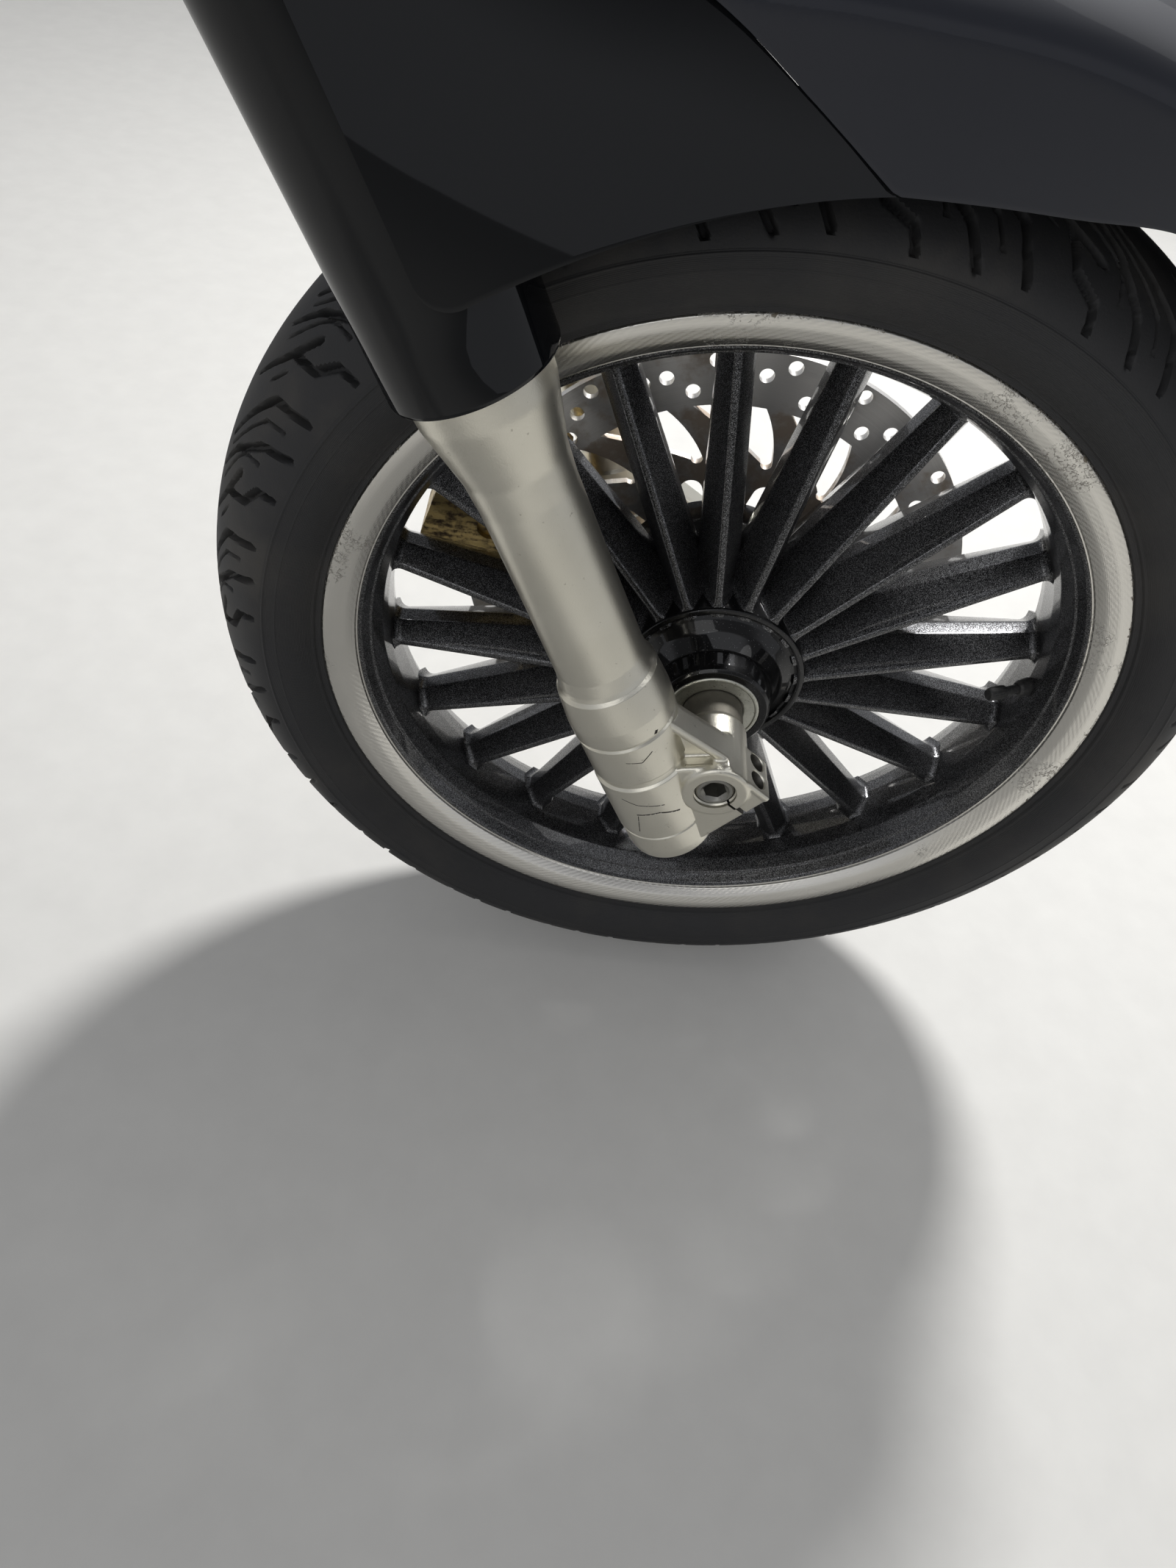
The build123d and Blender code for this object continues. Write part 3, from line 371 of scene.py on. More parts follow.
# %% [markdown]
# The lower legs are cast aluminium under satin silver lacquer. Up close the casting has a
# fine grain, and the foot has been scuffed, with a few dark scratches. Each scratch is a straight
# run between two points, drawn by its distance from the surface and made ragged by noise.

# %% Satin silver
# Scratches on the foot: start and end as (forward of the leg, above the axle) in mm, and width
SCRATCHES = [((-12.1, 12.7), (-5.1, 8.2), 0.4), ((-5.1, 8.2), (8.5, 4.2), 0.4),
             ((-7.7, -0.3), (4.3, -0.4), 0.6), ((4.3, -0.4), (14.2, -5.2), 0.6),
             ((-7.3, -1.4), (-10.7, -15.9), 0.3), ((-1.0, 41.5), (6.7, 39.0), 0.3),
             ((6.7, 39.0), (12.9, 43.3), 0.35), ((17.2, 52.6), (18.2, 54.4), 0.9)]


def scored_lines(x, z):
    """1 on the scratches, for a place forward of the leg's centre line and above the axle."""
    marked = 0.0
    for (x0, z0), (x1, z1), width in SCRATCHES:
        length = math.hypot(x1 - x0, z1 - z0) * MM
        way_x, way_z = (x1 - x0) * MM / length, (z1 - z0) * MM / length
        from_x, from_z = x - x0 * MM, z - z0 * MM
        along = from_x * way_x + from_z * way_z
        aside = (from_x * way_z - from_z * way_x).math("ABSOLUTE")
        line = 1 - aside.band(width * MM * 0.5, width * MM)
        marked = line * along.above(0.0) * (length - along).above(0.0) + marked
    return marked


def satin_silver():
    finish = Finish("satin_silver")
    x, _, z = finish.split(finish.stretched((1, 1, 1), spin=(0, RAKE, 0)))
    grain = finish.noise(1500, detail=2)
    cloud = finish.noise(22, detail=4)
    foot = 1 - (z + SEAT_HEIGHT * MM).band(-0.012, 0.020)
    scratch = scored_lines(x - LEG_LEAD * MM, z + SEAT_HEIGHT * MM)
    ragged = finish.noise(900, detail=3).band(0.32, 0.46)
    scratch = (scratch * ragged).clamped()
    grime = finish.noise(120, detail=6).band(0.62, 0.85) * 0.35
    pits = finish.noise(420, detail=2).band(0.70, 0.76) * 0.5
    colour = finish.mixed(cloud, (0.60, 0.575, 0.49), (0.72, 0.695, 0.61))
    colour = finish.mixed(grime * (foot * 0.8 + 0.2) + pits, colour, (0.30, 0.27, 0.22))
    colour = finish.mixed(scratch, colour, (0.05, 0.045, 0.04))
    finish.feed(Base_Color=colour, Metallic=0.94, Roughness=0.27 + cloud * 0.07 + scratch * 0.3)
    finish.feed(Normal=finish.bump(grain * 0.8 - scratch * 3 - pits, 0.0001))
    return finish.material


SATIN_SILVER = satin_silver()

# %% [markdown]
# The leg covers are gloss black moulded plastic and the front mudguard is a dark blue satin
# paint. Both carry a thin film of dust, which lies on what faces up, so the dust's mask
# is the height part of the surface's direction times noise.

# %% Painted plastics
def painted_plastic(name, tone, dusted, roughness, gloss, dust_share):
    finish = Finish(name)
    up = finish.split(finish.node("ShaderNodeNewGeometry", {}, {}, out="Normal"))[2]
    fine = finish.noise(1400, detail=2)
    cloud = finish.noise(14, detail=5)
    speck = fine.band(0.60, 0.72)
    film = (up.band(-0.1, 1.0) * (cloud * 0.7 + speck * 0.5) * dust_share).clamped()
    colour = finish.mixed(film, tone, dusted)
    finish.feed(Base_Color=colour, Roughness=roughness + film * 0.5)
    finish.feed(Coat_Weight=gloss * 0.6 - film * 0.5 * gloss)
    finish.feed(Coat_Roughness=0.03, Specular_IOR_Level=0.5 * (1 - gloss))
    finish.feed(Normal=finish.bump(cloud, 0.0001, strength=0.4))
    return finish.material


GLOSS_BLACK = painted_plastic("gloss_black", (0.004, 0.0045, 0.0055), (0.12, 0.12, 0.125), 0.16, 1.0, 0.04)
GUARD_PAINT = painted_plastic("guard_paint", (0.014, 0.016, 0.024), (0.14, 0.14, 0.15), 0.40, 0.45, 0.08)
SATIN_BLACK = painted_plastic("satin_black", (0.02, 0.02, 0.022), (0.12, 0.115, 0.11), 0.42, 0.2, 0.35)

# %% [markdown]
# The caliper's gold film has worn and stained, with brown and near black patches. Two noises
# of different size keep the stains from looking like one repeated cloud.

# %% Caliper gold and pads
def worn_gold():
    finish = Finish("worn_gold")
    cloud = finish.noise(70, detail=6, roughness=0.62)
    fine = finish.noise(420, detail=4)
    gold = finish.mixed(fine, (0.42, 0.30, 0.11), (0.64, 0.50, 0.24))
    slanted = finish.stretched((60, 60, 320), spin=(0.3, 0.7, 0))
    streak = finish.noise(1.0, detail=4, at=slanted)
    stain = (cloud * 0.55 + streak * 0.45 + fine * 0.3).band(0.60, 0.78)
    colour = finish.mixed(stain, gold, (0.085, 0.055, 0.03))
    finish.feed(Base_Color=colour, Metallic=1 - stain * 0.7, Roughness=0.38 + stain * 0.3)
    finish.feed(Normal=finish.bump(fine + cloud, 0.00025))
    return finish.material


def pad_lining():
    finish = Finish("pad_lining")
    fine = finish.noise(800, detail=5)
    colour = finish.mixed(fine.band(0.4, 0.7), (0.07, 0.06, 0.055), (0.22, 0.19, 0.16))
    finish.feed(Base_Color=colour, Roughness=0.75, Normal=finish.bump(fine, 0.0003))
    return finish.material


WORN_GOLD = worn_gold()
PAD_LINING = pad_lining()
print("finishes", len(bpy.data.materials))

# %% [markdown]
# Most pieces of a wheel are turned on a lathe, so one tool makes them: a stack of rings. Each
# level has a radius and a height, and a radius may change with the angle, which gives
# hexagon sockets and ribbed caps. Outlines get rounded corners first, because a
# real edge always catches a line of light.

# %% Outlines
def rounded(points, closed=False, steps=4):
    """Corners (x, y) or (x, y, fillet) to an outline whose filleted corners are arcs."""
    count = len(points)
    line = []
    for i, point in enumerate(points):
        here = np.array(point[:2], float)
        fillet = point[2] if len(point) > 2 else 0.0
        if fillet == 0.0 or (not closed and i in (0, count - 1)):
            line.append(here)
            continue
        before = here - np.array(points[i - 1][:2], float)
        after = np.array(points[(i + 1) % count][:2], float) - here
        run_in = np.linalg.norm(before)
        run_out = np.linalg.norm(after)
        before = before / run_in
        after = after / run_out
        turn = math.atan2(before[0] * after[1] - before[1] * after[0], float(before @ after))
        if abs(turn) < 1e-3:
            line.append(here)
            continue
        tangent = min(fillet * math.tan(abs(turn) / 2), 0.48 * run_in, 0.48 * run_out)
        radius = tangent / math.tan(abs(turn) / 2)
        start = here - before * tangent
        side = math.copysign(1, turn)
        centre = start + np.array([-before[1], before[0]]) * side * radius
        for k in range(steps + 1):
            angle = turn * k / steps
            cos, sin = math.cos(angle), math.sin(angle)
            arm = start - centre
            line.append(centre + np.array([cos * arm[0] - sin * arm[1], sin * arm[0] + cos * arm[1]]))
    return [tuple(p) for p in line]


def centre_of(first, middle, last):
    """Centre of the circle through three points, whose numbers may be arrays."""
    (ax, ay), (bx, by), (cx, cy) = first, middle, last
    d = 2 * (ax * (by - cy) + bx * (cy - ay) + cx * (ay - by))
    aa, bb, cc = ax**2 + ay**2, bx**2 + by**2, cx**2 + cy**2
    return ((aa * (by - cy) + bb * (cy - ay) + cc * (ay - by)) / d,
            (aa * (cx - bx) + bb * (ax - cx) + cc * (bx - ax)) / d)


def arc3(first, middle, last, steps):
    """Points along the circle through three points."""
    (ax, ay), (bx, by), (cx, cy) = first, middle, last
    ux, uy = centre_of(first, middle, last)
    radius = math.hypot(ax - ux, ay - uy)
    start = math.atan2(ay - uy, ax - ux)
    end = math.atan2(cy - uy, cx - ux)
    through = math.atan2(by - uy, bx - ux)
    sweep = (end - start) % (2 * math.pi)
    if (through - start) % (2 * math.pi) > sweep:
        sweep -= 2 * math.pi
    turns = [start + sweep * i / steps for i in range(steps + 1)]
    return [(ux + radius * math.cos(t), uy + radius * math.sin(t)) for t in turns]


# %% Meshes
def stack(levels, steps=96, loop=False):
    """Rings of (radius, height); a radius may be a function of the angle, and 0 is a pole."""
    verts = []
    rings = []
    for radius, height in levels:
        if not callable(radius) and radius == 0:
            rings.append([len(verts)] * steps)
            verts.append((0, 0, height))
            continue
        ring = []
        for i in range(steps):
            angle = 2 * math.pi * i / steps
            r = radius(angle) if callable(radius) else radius
            ring.append(len(verts))
            verts.append((r * math.cos(angle), r * math.sin(angle), height))
        rings.append(ring)
    faces = []
    pairs = list(zip(rings, rings[1:] + rings[:1])) if loop else list(zip(rings, rings[1:]))
    for low, high in pairs:
        for i in range(steps):
            j = (i + 1) % steps
            corners = [low[i], low[j], high[j], high[i]]
            faces.append(list(dict.fromkeys(corners)))
    return verts, [f for f in faces if len(f) > 2]


def grid(points, wrap=False):
    """Sheet from an array of points, rows by columns by 3; wrap joins the last row to the first."""
    rows, columns = points.shape[:2]
    verts = points.reshape(-1, 3)
    index = np.arange(rows * columns).reshape(rows, columns)
    if wrap:
        index = np.vstack([index, index[:1]])
    corners = [index[:-1, :-1], index[:-1, 1:], index[1:, 1:], index[1:, :-1]]
    faces = np.stack([c.ravel() for c in corners], axis=1)
    return verts, faces.tolist()


def skin(rings, capped=False):
    """Closed rings of as many points each, joined into a skin, with faces over its ends or open."""
    count = len(rings[0])
    verts = [v for ring in rings for v in ring]
    faces = [list(range(count)), list(range(len(verts) - count, len(verts)))[::-1]] if capped else []
    for k in range(len(rings) - 1):
        for i in range(count):
            j = (i + 1) % count
            faces.append([k * count + i, (k + 1) * count + i, (k + 1) * count + j, k * count + j])
    return verts, faces


def slab(outline, low, high, fillet=0.0):
    """Plate with an outline in X and Z, between two Y planes, with rounded edges."""
    def ring(shrink, y):
        return [(x, y, z) for x, z in inset(outline, shrink)]

    if fillet:
        bends = [(fillet * (1 - math.sin(t)), fillet * (1 - math.cos(t)))
                 for t in np.linspace(0, math.pi / 2, 4)]
        rings = [ring(s, low + d) for s, d in bends]
        rings += [ring(s, high - d) for s, d in reversed(bends)]
    else:
        rings = [ring(0, low), ring(0, high)]
    return skin(rings, capped=True)


def inset(outline, shrink):
    """Closed outline moved inwards by a small distance."""
    if shrink == 0:
        return outline
    points = np.array(outline, float)
    ahead = np.roll(points, -1, axis=0) - points
    area = np.sum(points[:, 0] * np.roll(points[:, 1], -1) - np.roll(points[:, 0], -1) * points[:, 1])
    ahead /= np.linalg.norm(ahead, axis=1)[:, None]
    inward = np.stack([-ahead[:, 1], ahead[:, 0]], axis=1) * math.copysign(1, area)
    both = inward + np.roll(inward, 1, axis=0)
    both /= np.maximum(np.sum(both * inward, axis=1), 0.2)[:, None]
    return [tuple(p) for p in points + both * shrink]


def moved(shape, matrix):
    verts, faces = shape
    return [tuple(matrix @ Vector(v)) for v in verts], faces


def together(*shapes):
    verts = []
    faces = []
    for more, ring in shapes:
        base = len(verts)
        verts.extend(tuple(v) for v in more)
        faces.extend([i + base for i in face] for face in ring)
    return verts, faces


def mesh_object(name, shape, matrix=None, weld=True):
    """Blender object from a shape in millimetres, carried to the row's frame."""
    verts, faces = shape
    mesh = bpy.data.meshes.new(name)
    mesh.from_pydata([tuple(map(float, v)) for v in verts], [], faces)
    if matrix is not None:
        mesh.transform(matrix)
    tidy = bmesh.new()
    tidy.from_mesh(mesh)
    if weld:
        bmesh.ops.remove_doubles(tidy, verts=tidy.verts, dist=1e-7)
    bmesh.ops.recalc_face_normals(tidy, faces=tidy.faces)
    tidy.to_mesh(mesh)
    tidy.free()
    thing = bpy.data.objects.new(name, mesh)
    bpy.context.scene.collection.objects.link(thing)
    return thing


def smooth(thing, degrees=32):
    """Smooth shading, with edges sharper than an angle kept crisp."""
    thing.data.shade_smooth()
    thing.data.set_sharp_from_angle(angle=math.radians(degrees))
    return thing


def baked(thing):
    """Apply a thing's modifiers, so that its mesh is what shows."""
    graph = bpy.context.evaluated_depsgraph_get()
    done = bpy.data.meshes.new_from_object(thing.evaluated_get(graph))
    thing.modifiers.clear()
    thing.data = done
    return thing


def dressed(thing, body, slot, materials, *nodes):
    """Give a finished piece its body, its materials and the nodes it stands for; its slot is not used."""
    thing.data.materials.clear()
    for material in materials:
        thing.data.materials.append(material)
    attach(thing, body)
    if nodes:
        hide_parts(*nodes)
    print(thing.name, len(thing.data.polygons), "faces")
    return thing


def piece(name, shape, matrix, body, slot, material, *nodes, degrees=32):
    """A whole piece in one call."""
    thing = smooth(mesh_object(name, shape, matrix), degrees)
    return dressed(thing, body, slot, [material], *nodes)


def hexagon(across_flats):
    """Radius of a hexagon at an angle, for the sockets of bolts."""
    def radius(angle):
        return across_flats / 2 / math.cos((angle + math.pi / 6) % (math.pi / 3) - math.pi / 6)
    return radius


def socket_head(radius, length, flats, depth, chamfer=0.8, shank=0.0, shank_length=0.0):
    """Cylinder head with a chamfered rim and a hexagon socket; its seat is at height 0."""
    key = hexagon(flats)
    bottom = [(0, -shank_length), (shank, -shank_length)] if shank else []
    outside = bottom + [(shank, 0), (radius - 0.3, 0), (radius, 0.3), (radius, length - chamfer),
                        (radius - chamfer, length), (flats / 2 * 1.16 + 0.5, length),
                        (flats / 2 * 1.16, length - 0.4), (key, length - 0.9), (key, length - depth),
                        (0, length - depth - flats * 0.12)]
    if not shank:
        outside = [(0, 0)] + outside[1:]
    return stack(outside, steps=48)


# %% [markdown]
# The tyre's section is two arcs, the tread's and the side wall's, with the shoulder between
# them worn round. Walking along that line by its own length gives every later step one number,
# the distance from the middle of the tread.

# %% Tyre section
TYRE_RADIUS = 280.0
SHOULDER = (256.0, 49.0)
WALL_FOOT = (219.0, 44.0)
SHOULDER_SOFTNESS = 3.2
SECTION_STEP = 0.25
SECTION_ARC_POINTS = 240
TREAD_END = 68.0           # along the section, from the middle of the tread


def section_line():
    """Tyre's outside as (radius, y) at even steps from the crown to the rim."""
    tread = arc3((TYRE_RADIUS, 0.0), (274.2, 24.5), SHOULDER, SECTION_ARC_POINTS)
    wall = arc3(SHOULDER, (243.3, 55.0), WALL_FOOT, SECTION_ARC_POINTS)
    line = np.array(tread + wall[1:])
    reach = np.concatenate([[0], np.cumsum(np.linalg.norm(np.diff(line, axis=0), axis=1))])
    even = np.arange(0, reach[-1], SECTION_STEP)
    line = np.stack([np.interp(even, reach, line[:, k]) for k in (0, 1)], axis=1)
    mirrored = np.concatenate([(line * [1, -1])[:0:-1], line, 2 * line[-1] - line[-2:-90:-1]])
    taps = np.arange(-60, 61) * SECTION_STEP
    bell = np.exp(-(taps / SHOULDER_SOFTNESS) ** 2 / 2)
    bell /= bell.sum()
    soft = np.stack([np.convolve(mirrored[:, k], bell, mode="same") for k in (0, 1)], axis=1)
    start = len(line) - 1
    soft = soft[start:start + len(line)]
    soft[:, 0] *= TYRE_RADIUS / soft[0, 0]
    return even, soft


SECTION_REACH, SECTION = section_line()


def on_section(reach):
    """(radius, y) and the outward direction at a distance along the section."""
    r = np.interp(reach, SECTION_REACH, SECTION[:, 0])
    y = np.interp(reach, SECTION_REACH, SECTION[:, 1])
    slope = np.gradient(SECTION, axis=0)
    slope /= np.linalg.norm(slope, axis=1)[:, None]
    out_r = np.interp(reach, SECTION_REACH, slope[:, 1])
    out_y = -np.interp(reach, SECTION_REACH, slope[:, 0])
    return r, y, out_r, out_y


print("section", round(SECTION_REACH[-1], 1), "mm long, widest", round(SECTION[:, 1].max(), 1))

# %% [markdown]
# The tread repeats one pattern round the wheel: two long bent grooves, a forked one and thin
# cuts between them. Each is a line of points on the unrolled tread. A sheet of points covers
# the tread, slanted to run along the grooves, and each point sinks by how near it lies to a
# groove, so the walls come out clean without any cutting.

# %% Tread
REPEATS = 20
TREAD_COLUMNS = 94         # of points in one repeat
GROOVE_DEPTH = 5.0
CUT_DEPTH = 2.4
WALL_SOFTNESS = 0.5
KNEE = 38.5
INNER_SLANT = -1.9         # along the tyre for each millimetre outwards
OUTER_SLANT = -0.5
# Grooves of one repeat: (along, outwards, half width) at each bend
GROOVES = [
    [(22.0, 16.0, 0.8), (2.0, 28.0, 1.4), (-10.0, 40.0, 1.7), (-17.0, 46.0, 1.8), (-26.0, 62.0, 1.8)],
    [(2.0, 17.0, 0.8), (-19.0, 27.3, 1.4), (-31.0, 33.5, 1.7), (-40.0, 38.5, 1.8), (-49.5, 60.0, 1.8)],
    [(-34.0, 15.0, 0.8), (-56.0, 28.0, 1.5), (-65.0, 32.5, 1.7), (-80.0, 38.0, 1.5)],
    [(-63.0, 32.5, 1.7), (-69.0, 47.0, 1.7), (-83.0, 54.0, 1.7), (-86.0, 63.0, 1.7)],
]
CUTS = [
    [(6.0, 20.0, 0.6), (-20.0, 35.0, 0.6), (-29.0, 41.0, 0.6), (-34.0, 52.0, 0.6), (-34.1, 52.2, 1.2)],
    [(-43.0, 29.0, 0.6), (-52.0, 33.5, 0.6), (-52.1, 33.6, 1.2)],
    [(-62.0, 21.0, 0.6), (-83.0, 31.0, 0.6), (-91.0, 36.5, 0.6), (-95.0, 47.0, 0.6), (-95.1, 47.2, 1.2)],
]
REPEAT_LENGTH = 2 * math.pi * TYRE_RADIUS / REPEATS


def depth_at(along, reach):
    """How deep the tread is cut at points of the unrolled tyre."""
    depth = np.zeros_like(along)
    for lines, full in ((GROOVES, GROOVE_DEPTH), (CUTS, CUT_DEPTH)):
        for line in lines:
            for shift in (-REPEAT_LENGTH, 0.0, REPEAT_LENGTH):
                for (a0, s0, h0), (a1, s1, h1) in zip(line, line[1:]):
                    da, ds = a1 - a0, s1 - s0
                    t = ((along - shift - a0) * da + (reach - s0) * ds) / (da * da + ds * ds)
                    t = np.clip(t, 0, 1)
                    gap = np.hypot(along - shift - a0 - t * da, reach - s0 - t * ds)
                    edge = (h0 + (h1 - h0) * t - gap) / WALL_SOFTNESS
                    rise = np.clip(edge / 2 + 0.5, 0, 1)
                    depth = np.maximum(depth, full * rise * rise * (3 - 2 * rise))
    return depth


def slant(reach):
    """How far the sheet's columns lean along the tyre at a distance outwards."""
    inner = INNER_SLANT * np.minimum(reach, KNEE)
    return inner + OUTER_SLANT * np.maximum(reach - KNEE, 0)


def tread_half(side):
    rows = np.concatenate([np.linspace(0, 14, 6), np.arange(15.2, TREAD_END, 1.25), [TREAD_END]])
    along = np.linspace(0, REPEAT_LENGTH, TREAD_COLUMNS, endpoint=False)
    lane, reach = np.meshgrid(along, rows, indexing="ij")
    u = lane + slant(reach)
    local = (u + REPEAT_LENGTH) % REPEAT_LENGTH - REPEAT_LENGTH * 0.75
    depth = depth_at(local, reach)
    depth *= np.clip((TREAD_END - reach) / 3, 0, 1)
    r, y, out_r, out_y = on_section(reach)
    half_repeat = REPEAT_LENGTH / 2 if side > 0 else 0.0
    radius = r - depth * out_r
    sunk_y = side * (y - depth * out_y)
    strips = []
    for k in range(REPEATS):
        angle = (u + k * REPEAT_LENGTH + half_repeat) / TYRE_RADIUS
        strips.append(np.stack([radius * np.cos(angle), sunk_y, radius * np.sin(angle)], -1))
    return grid(np.concatenate(strips), wrap=True)


for word, side in SIDES.items():
    nodes = ["tyre"] if side == RIGHT else []
    piece("tread_" + word, tread_half(side), WHEEL, "wheel", "tyre", TREAD_RUBBER, *nodes, degrees=50)

# %% [markdown]
# The side wall is turned: a smooth belly with a raised line where the tread stops, a few faint
# mould rings and a flange line just above the rim. Its rows lie 0.4 mm apart, close enough to
# carry the finest of those rings.

# %% Side walls
# Rings on the side wall: distance along the section, height, half width
WALL_RINGS = [(69.5, 0.55, 0.5), (76.0, 0.25, 0.35), (97.0, 0.5, 0.8), (100.5, 0.3, 0.4), (102.6, 0.3, 0.4)]

WALL_ROW_STEP = 0.4
TURNED_STEPS = 240         # points round the largest turned pieces


def side_wall(side):
    reach = np.concatenate([np.arange(TREAD_END, SECTION_REACH[-1], WALL_ROW_STEP), [SECTION_REACH[-1]]])
    r, y, out_r, out_y = on_section(reach)
    lift = np.zeros_like(reach)
    for place, height, half in WALL_RINGS:
        lift += height * np.exp(-((reach - place) / half) ** 2)
    lift[0] = 0
    line = list(zip(r + lift * out_r, side * (y + lift * out_y)))
    line += [(216.4, side * 43.4), (215.6, side * 41.5), (215.0, side * 39.5)]
    return stack(line, steps=TURNED_STEPS)


for word, side in SIDES.items():
    piece("wall_" + word, side_wall(side), WHEEL @ facing(LEFT), "wheel", "tyre", WALL_RUBBER)

# %% [markdown]
# The rim is one turned section. Its lip is bare metal and slightly convex, and a narrow
# groove divides it from the black barrel. Both halves are the same, so the outline is
# written once and mirrored, and each face takes its finish by where it lies.

# %% Rim
LIP_BAND = [(215.7, 41.0), (216.0, 42.0, 0.5), (215.2, 43.2, 0.8), (210.5, 43.1, 9.0), (204.0, 40.6, 9.0),
            (199.4, 37.0, 0.6), (199.0, 35.6, 0.3), (198.2, 35.4, 0.3), (197.6, 36.2, 0.5)]
BARREL = [(195.8, 34.6, 2.0), (192.9, 29.0, 0.8), (191.6, 28.6, 0.8), (190.6, 26.4, 1.2),
          (187.2, 19.0, 6.0), (185.9, 9.0, 8.0), (185.7, 0.0)]
RIM_BACK = [(190.0, 0.0), (190.0, 17.0, 3.0), (202.8, 26.0, 3.0), (202.8, 38.1, 2.0), (210.0, 38.1, 2.0),
            (215.7, 40.4, 1.0)]
GROOVE_RADIUS = 198.3
LIP_START = 34.5           # from the wheel's middle plane


def rim():
    front = rounded(RIM_BACK + LIP_BAND + BARREL, steps=3)
    back = [(r, -y) for r, y in reversed(front)][1:-1]
    return stack(front + back, steps=TURNED_STEPS, loop=True)


rim_piece = smooth(mesh_object("rim", rim(), WHEEL @ facing(LEFT)), 30)
dressed(rim_piece, "wheel", "wheel_black", [FLAKE_BLACK, BARE_LIP], "cast_wheel")
for face in rim_piece.data.polygons:
    offset = face.center - AXLE
    bare = math.hypot(offset.x, offset.z) > GROOVE_RADIUS * MM and abs(offset.y) > LIP_START * MM
    face.material_index = 1 if bare else 0

# %% [markdown]
# Twenty blades join the hub to the rim. Each is a loft: one eight-cornered section, blunt at
# its ridges, carried outwards while it gets slimmer. Near the hub and the rim the section
# swells along a quarter circle, which is what a casting's fillet does.

# %% Spokes
SPOKES = 20
SPOKE_PHASE = 9.1
HUB_WALL = 51.7
BARREL_WALL = 186.2
FILLET = 5.5
# Radius, width, front ridge and back ridge across the wheel
HUB_END = np.array([45.7, 23.0, -31.0, 31.0])
RIM_END = np.array([188.0, 17.5, -5.0, 24.0])
HALF_LAND = 5.0


def swell(distance, fillet):
    """How far a fillet stands off at a distance from the wall."""
    if distance >= fillet:
        return 0.0
    short = fillet - max(distance, 0.0)
    return fillet - math.sqrt(fillet * fillet - short * short)


def blade():
    stations = [46.0, 51.7, 52.3, 53.1, 54.2, 55.6, 57.4, 62, 70, 80, 95, 110, 125, 140, 155, 168, 176,
                180.6, 181.9, 183.1, 184.2, 185.1, 185.8, 186.6, 188.0]
    rings = []
    for station in stations:
        share = (station - HUB_END[0]) / (RIM_END[0] - HUB_END[0])
        radius, width, front, back = HUB_END + (RIM_END - HUB_END) * share
        at_rim = swell(BARREL_WALL - radius, FILLET)
        at_hub = swell(radius - HUB_WALL, FILLET) * 0.5
        ridge = 1.7 + at_rim * 0.8 + at_hub * 0.5
        side = width / 2 + at_rim + at_hub
        front -= at_rim * 0.6
        back += at_rim * 0.6
        middle = (front + back) / 2
        low, high = middle - HALF_LAND, middle + HALF_LAND
        corners = [(front, ridge, 1.5), (low, side, 3.5), (high, side, 3.5), (back, ridge, 1.5),
                   (back, -ridge, 1.5), (high, -side, 3.5), (low, -side, 3.5), (front, -ridge, 1.5)]
        rings.append([(radius, y, z) for y, z in rounded(corners, closed=True, steps=3)])
    return skin(rings)


blades = [moved(blade(), turned(SPOKE_PHASE + 360 / SPOKES * i)) for i in range(SPOKES)]
piece("spokes", together(*blades), WHEEL, "wheel", "wheel_black", FLAKE_BLACK)

# %% [markdown]
# The hub is turned too. Its right side is a deep glossy dish round the bearing's lip, and
# its left side flares out to the flat that carries the brake disc.

# %% Hub
def hub():
    right = [(28.0, 0), (25.7, -53.5), (25.7, -56.2, 0.3), (29.6, -56.5, 0.8), (31.1, -55.0, 0.8),
             (31.8, -51.5, 1.0), (33.0, -43.0, 6.0), (38.5, -34.0, 6.0), (44.0, -30.2, 4.0),
             (46.2, -29.2, 1.0), (47.6, -29.4, 0.5), (48.2, -31.2, 0.5), (49.2, -31.7, 0.6),
             (51.5, -31.4, 0.8), (51.9, -29.6, 0.8)]
    left = [(51.7, 29.5, 4.0), (57.6, 40.0, 6.0), (60.0, 54.2, 0.7), (59.4, 55.0, 0.5), (29.9, 55.0),
            (29.9, 57.6, 0.4), (25.7, 58.0, 0.3), (25.7, 53.5), (28.0, 0.5)]
    return stack(rounded(right + left, steps=4), steps=144, loop=True)


piece("hub", hub(), WHEEL @ facing(LEFT), "wheel", "wheel_black", HUB_BLACK)

# %% [markdown]
# Each bearing sits behind a pressed zinc seal whose flange and step catch the light, and
# a spacer tube fills the gap to the fork.

# %% Seals, bearings and spacers
for word, side in SIDES.items():
    seal = [(16.9, 54.1), (16.9, 56.1, 0.2), (17.6, 56.3, 0.3), (23.0, 56.3, 0.5), (23.6, 56.9, 0.4),
            (24.8, 56.9, 0.6), (25.4, 56.2, 0.3), (25.4, 54.1)]
    around = WHEEL @ facing(side)
    piece("seal_" + word, stack(rounded(seal), 96, loop=True), around, "wheel", "steel", ZINC,
          "hub_seal_" + word)
    race = [(10.1, 42.3, 0.4), (20.9, 42.3, 0.4), (20.9, 53.7, 0.4), (10.1, 53.7, 0.4)]
    piece("bearing_" + word, stack(rounded(race, closed=True), 96, loop=True), around, "wheel", "steel",
          DULL_STEEL, "wheel_bearing_" + word)
    tube = [(10.1, 54.5, 0.3), (15.6, 54.5), (16.4, 55.6, 0.4), (16.4, 71.2, 0.4), (15.6, 72.8, 0.4),
            (10.1, 72.8)]
    piece("spacer_" + word, stack(rounded(tube, closed=True), 96, loop=True), AXLE_ON_FORK @ facing(side),
          "fork", "steel", SPACER_STEEL, "axle_spacer_" + word)

# %% [markdown]
# A rubber snap-in valve: a bulged rubber foot in the rim, a brass stem and a ribbed cap. The
# cap's ribs come from a radius that waves with the angle.

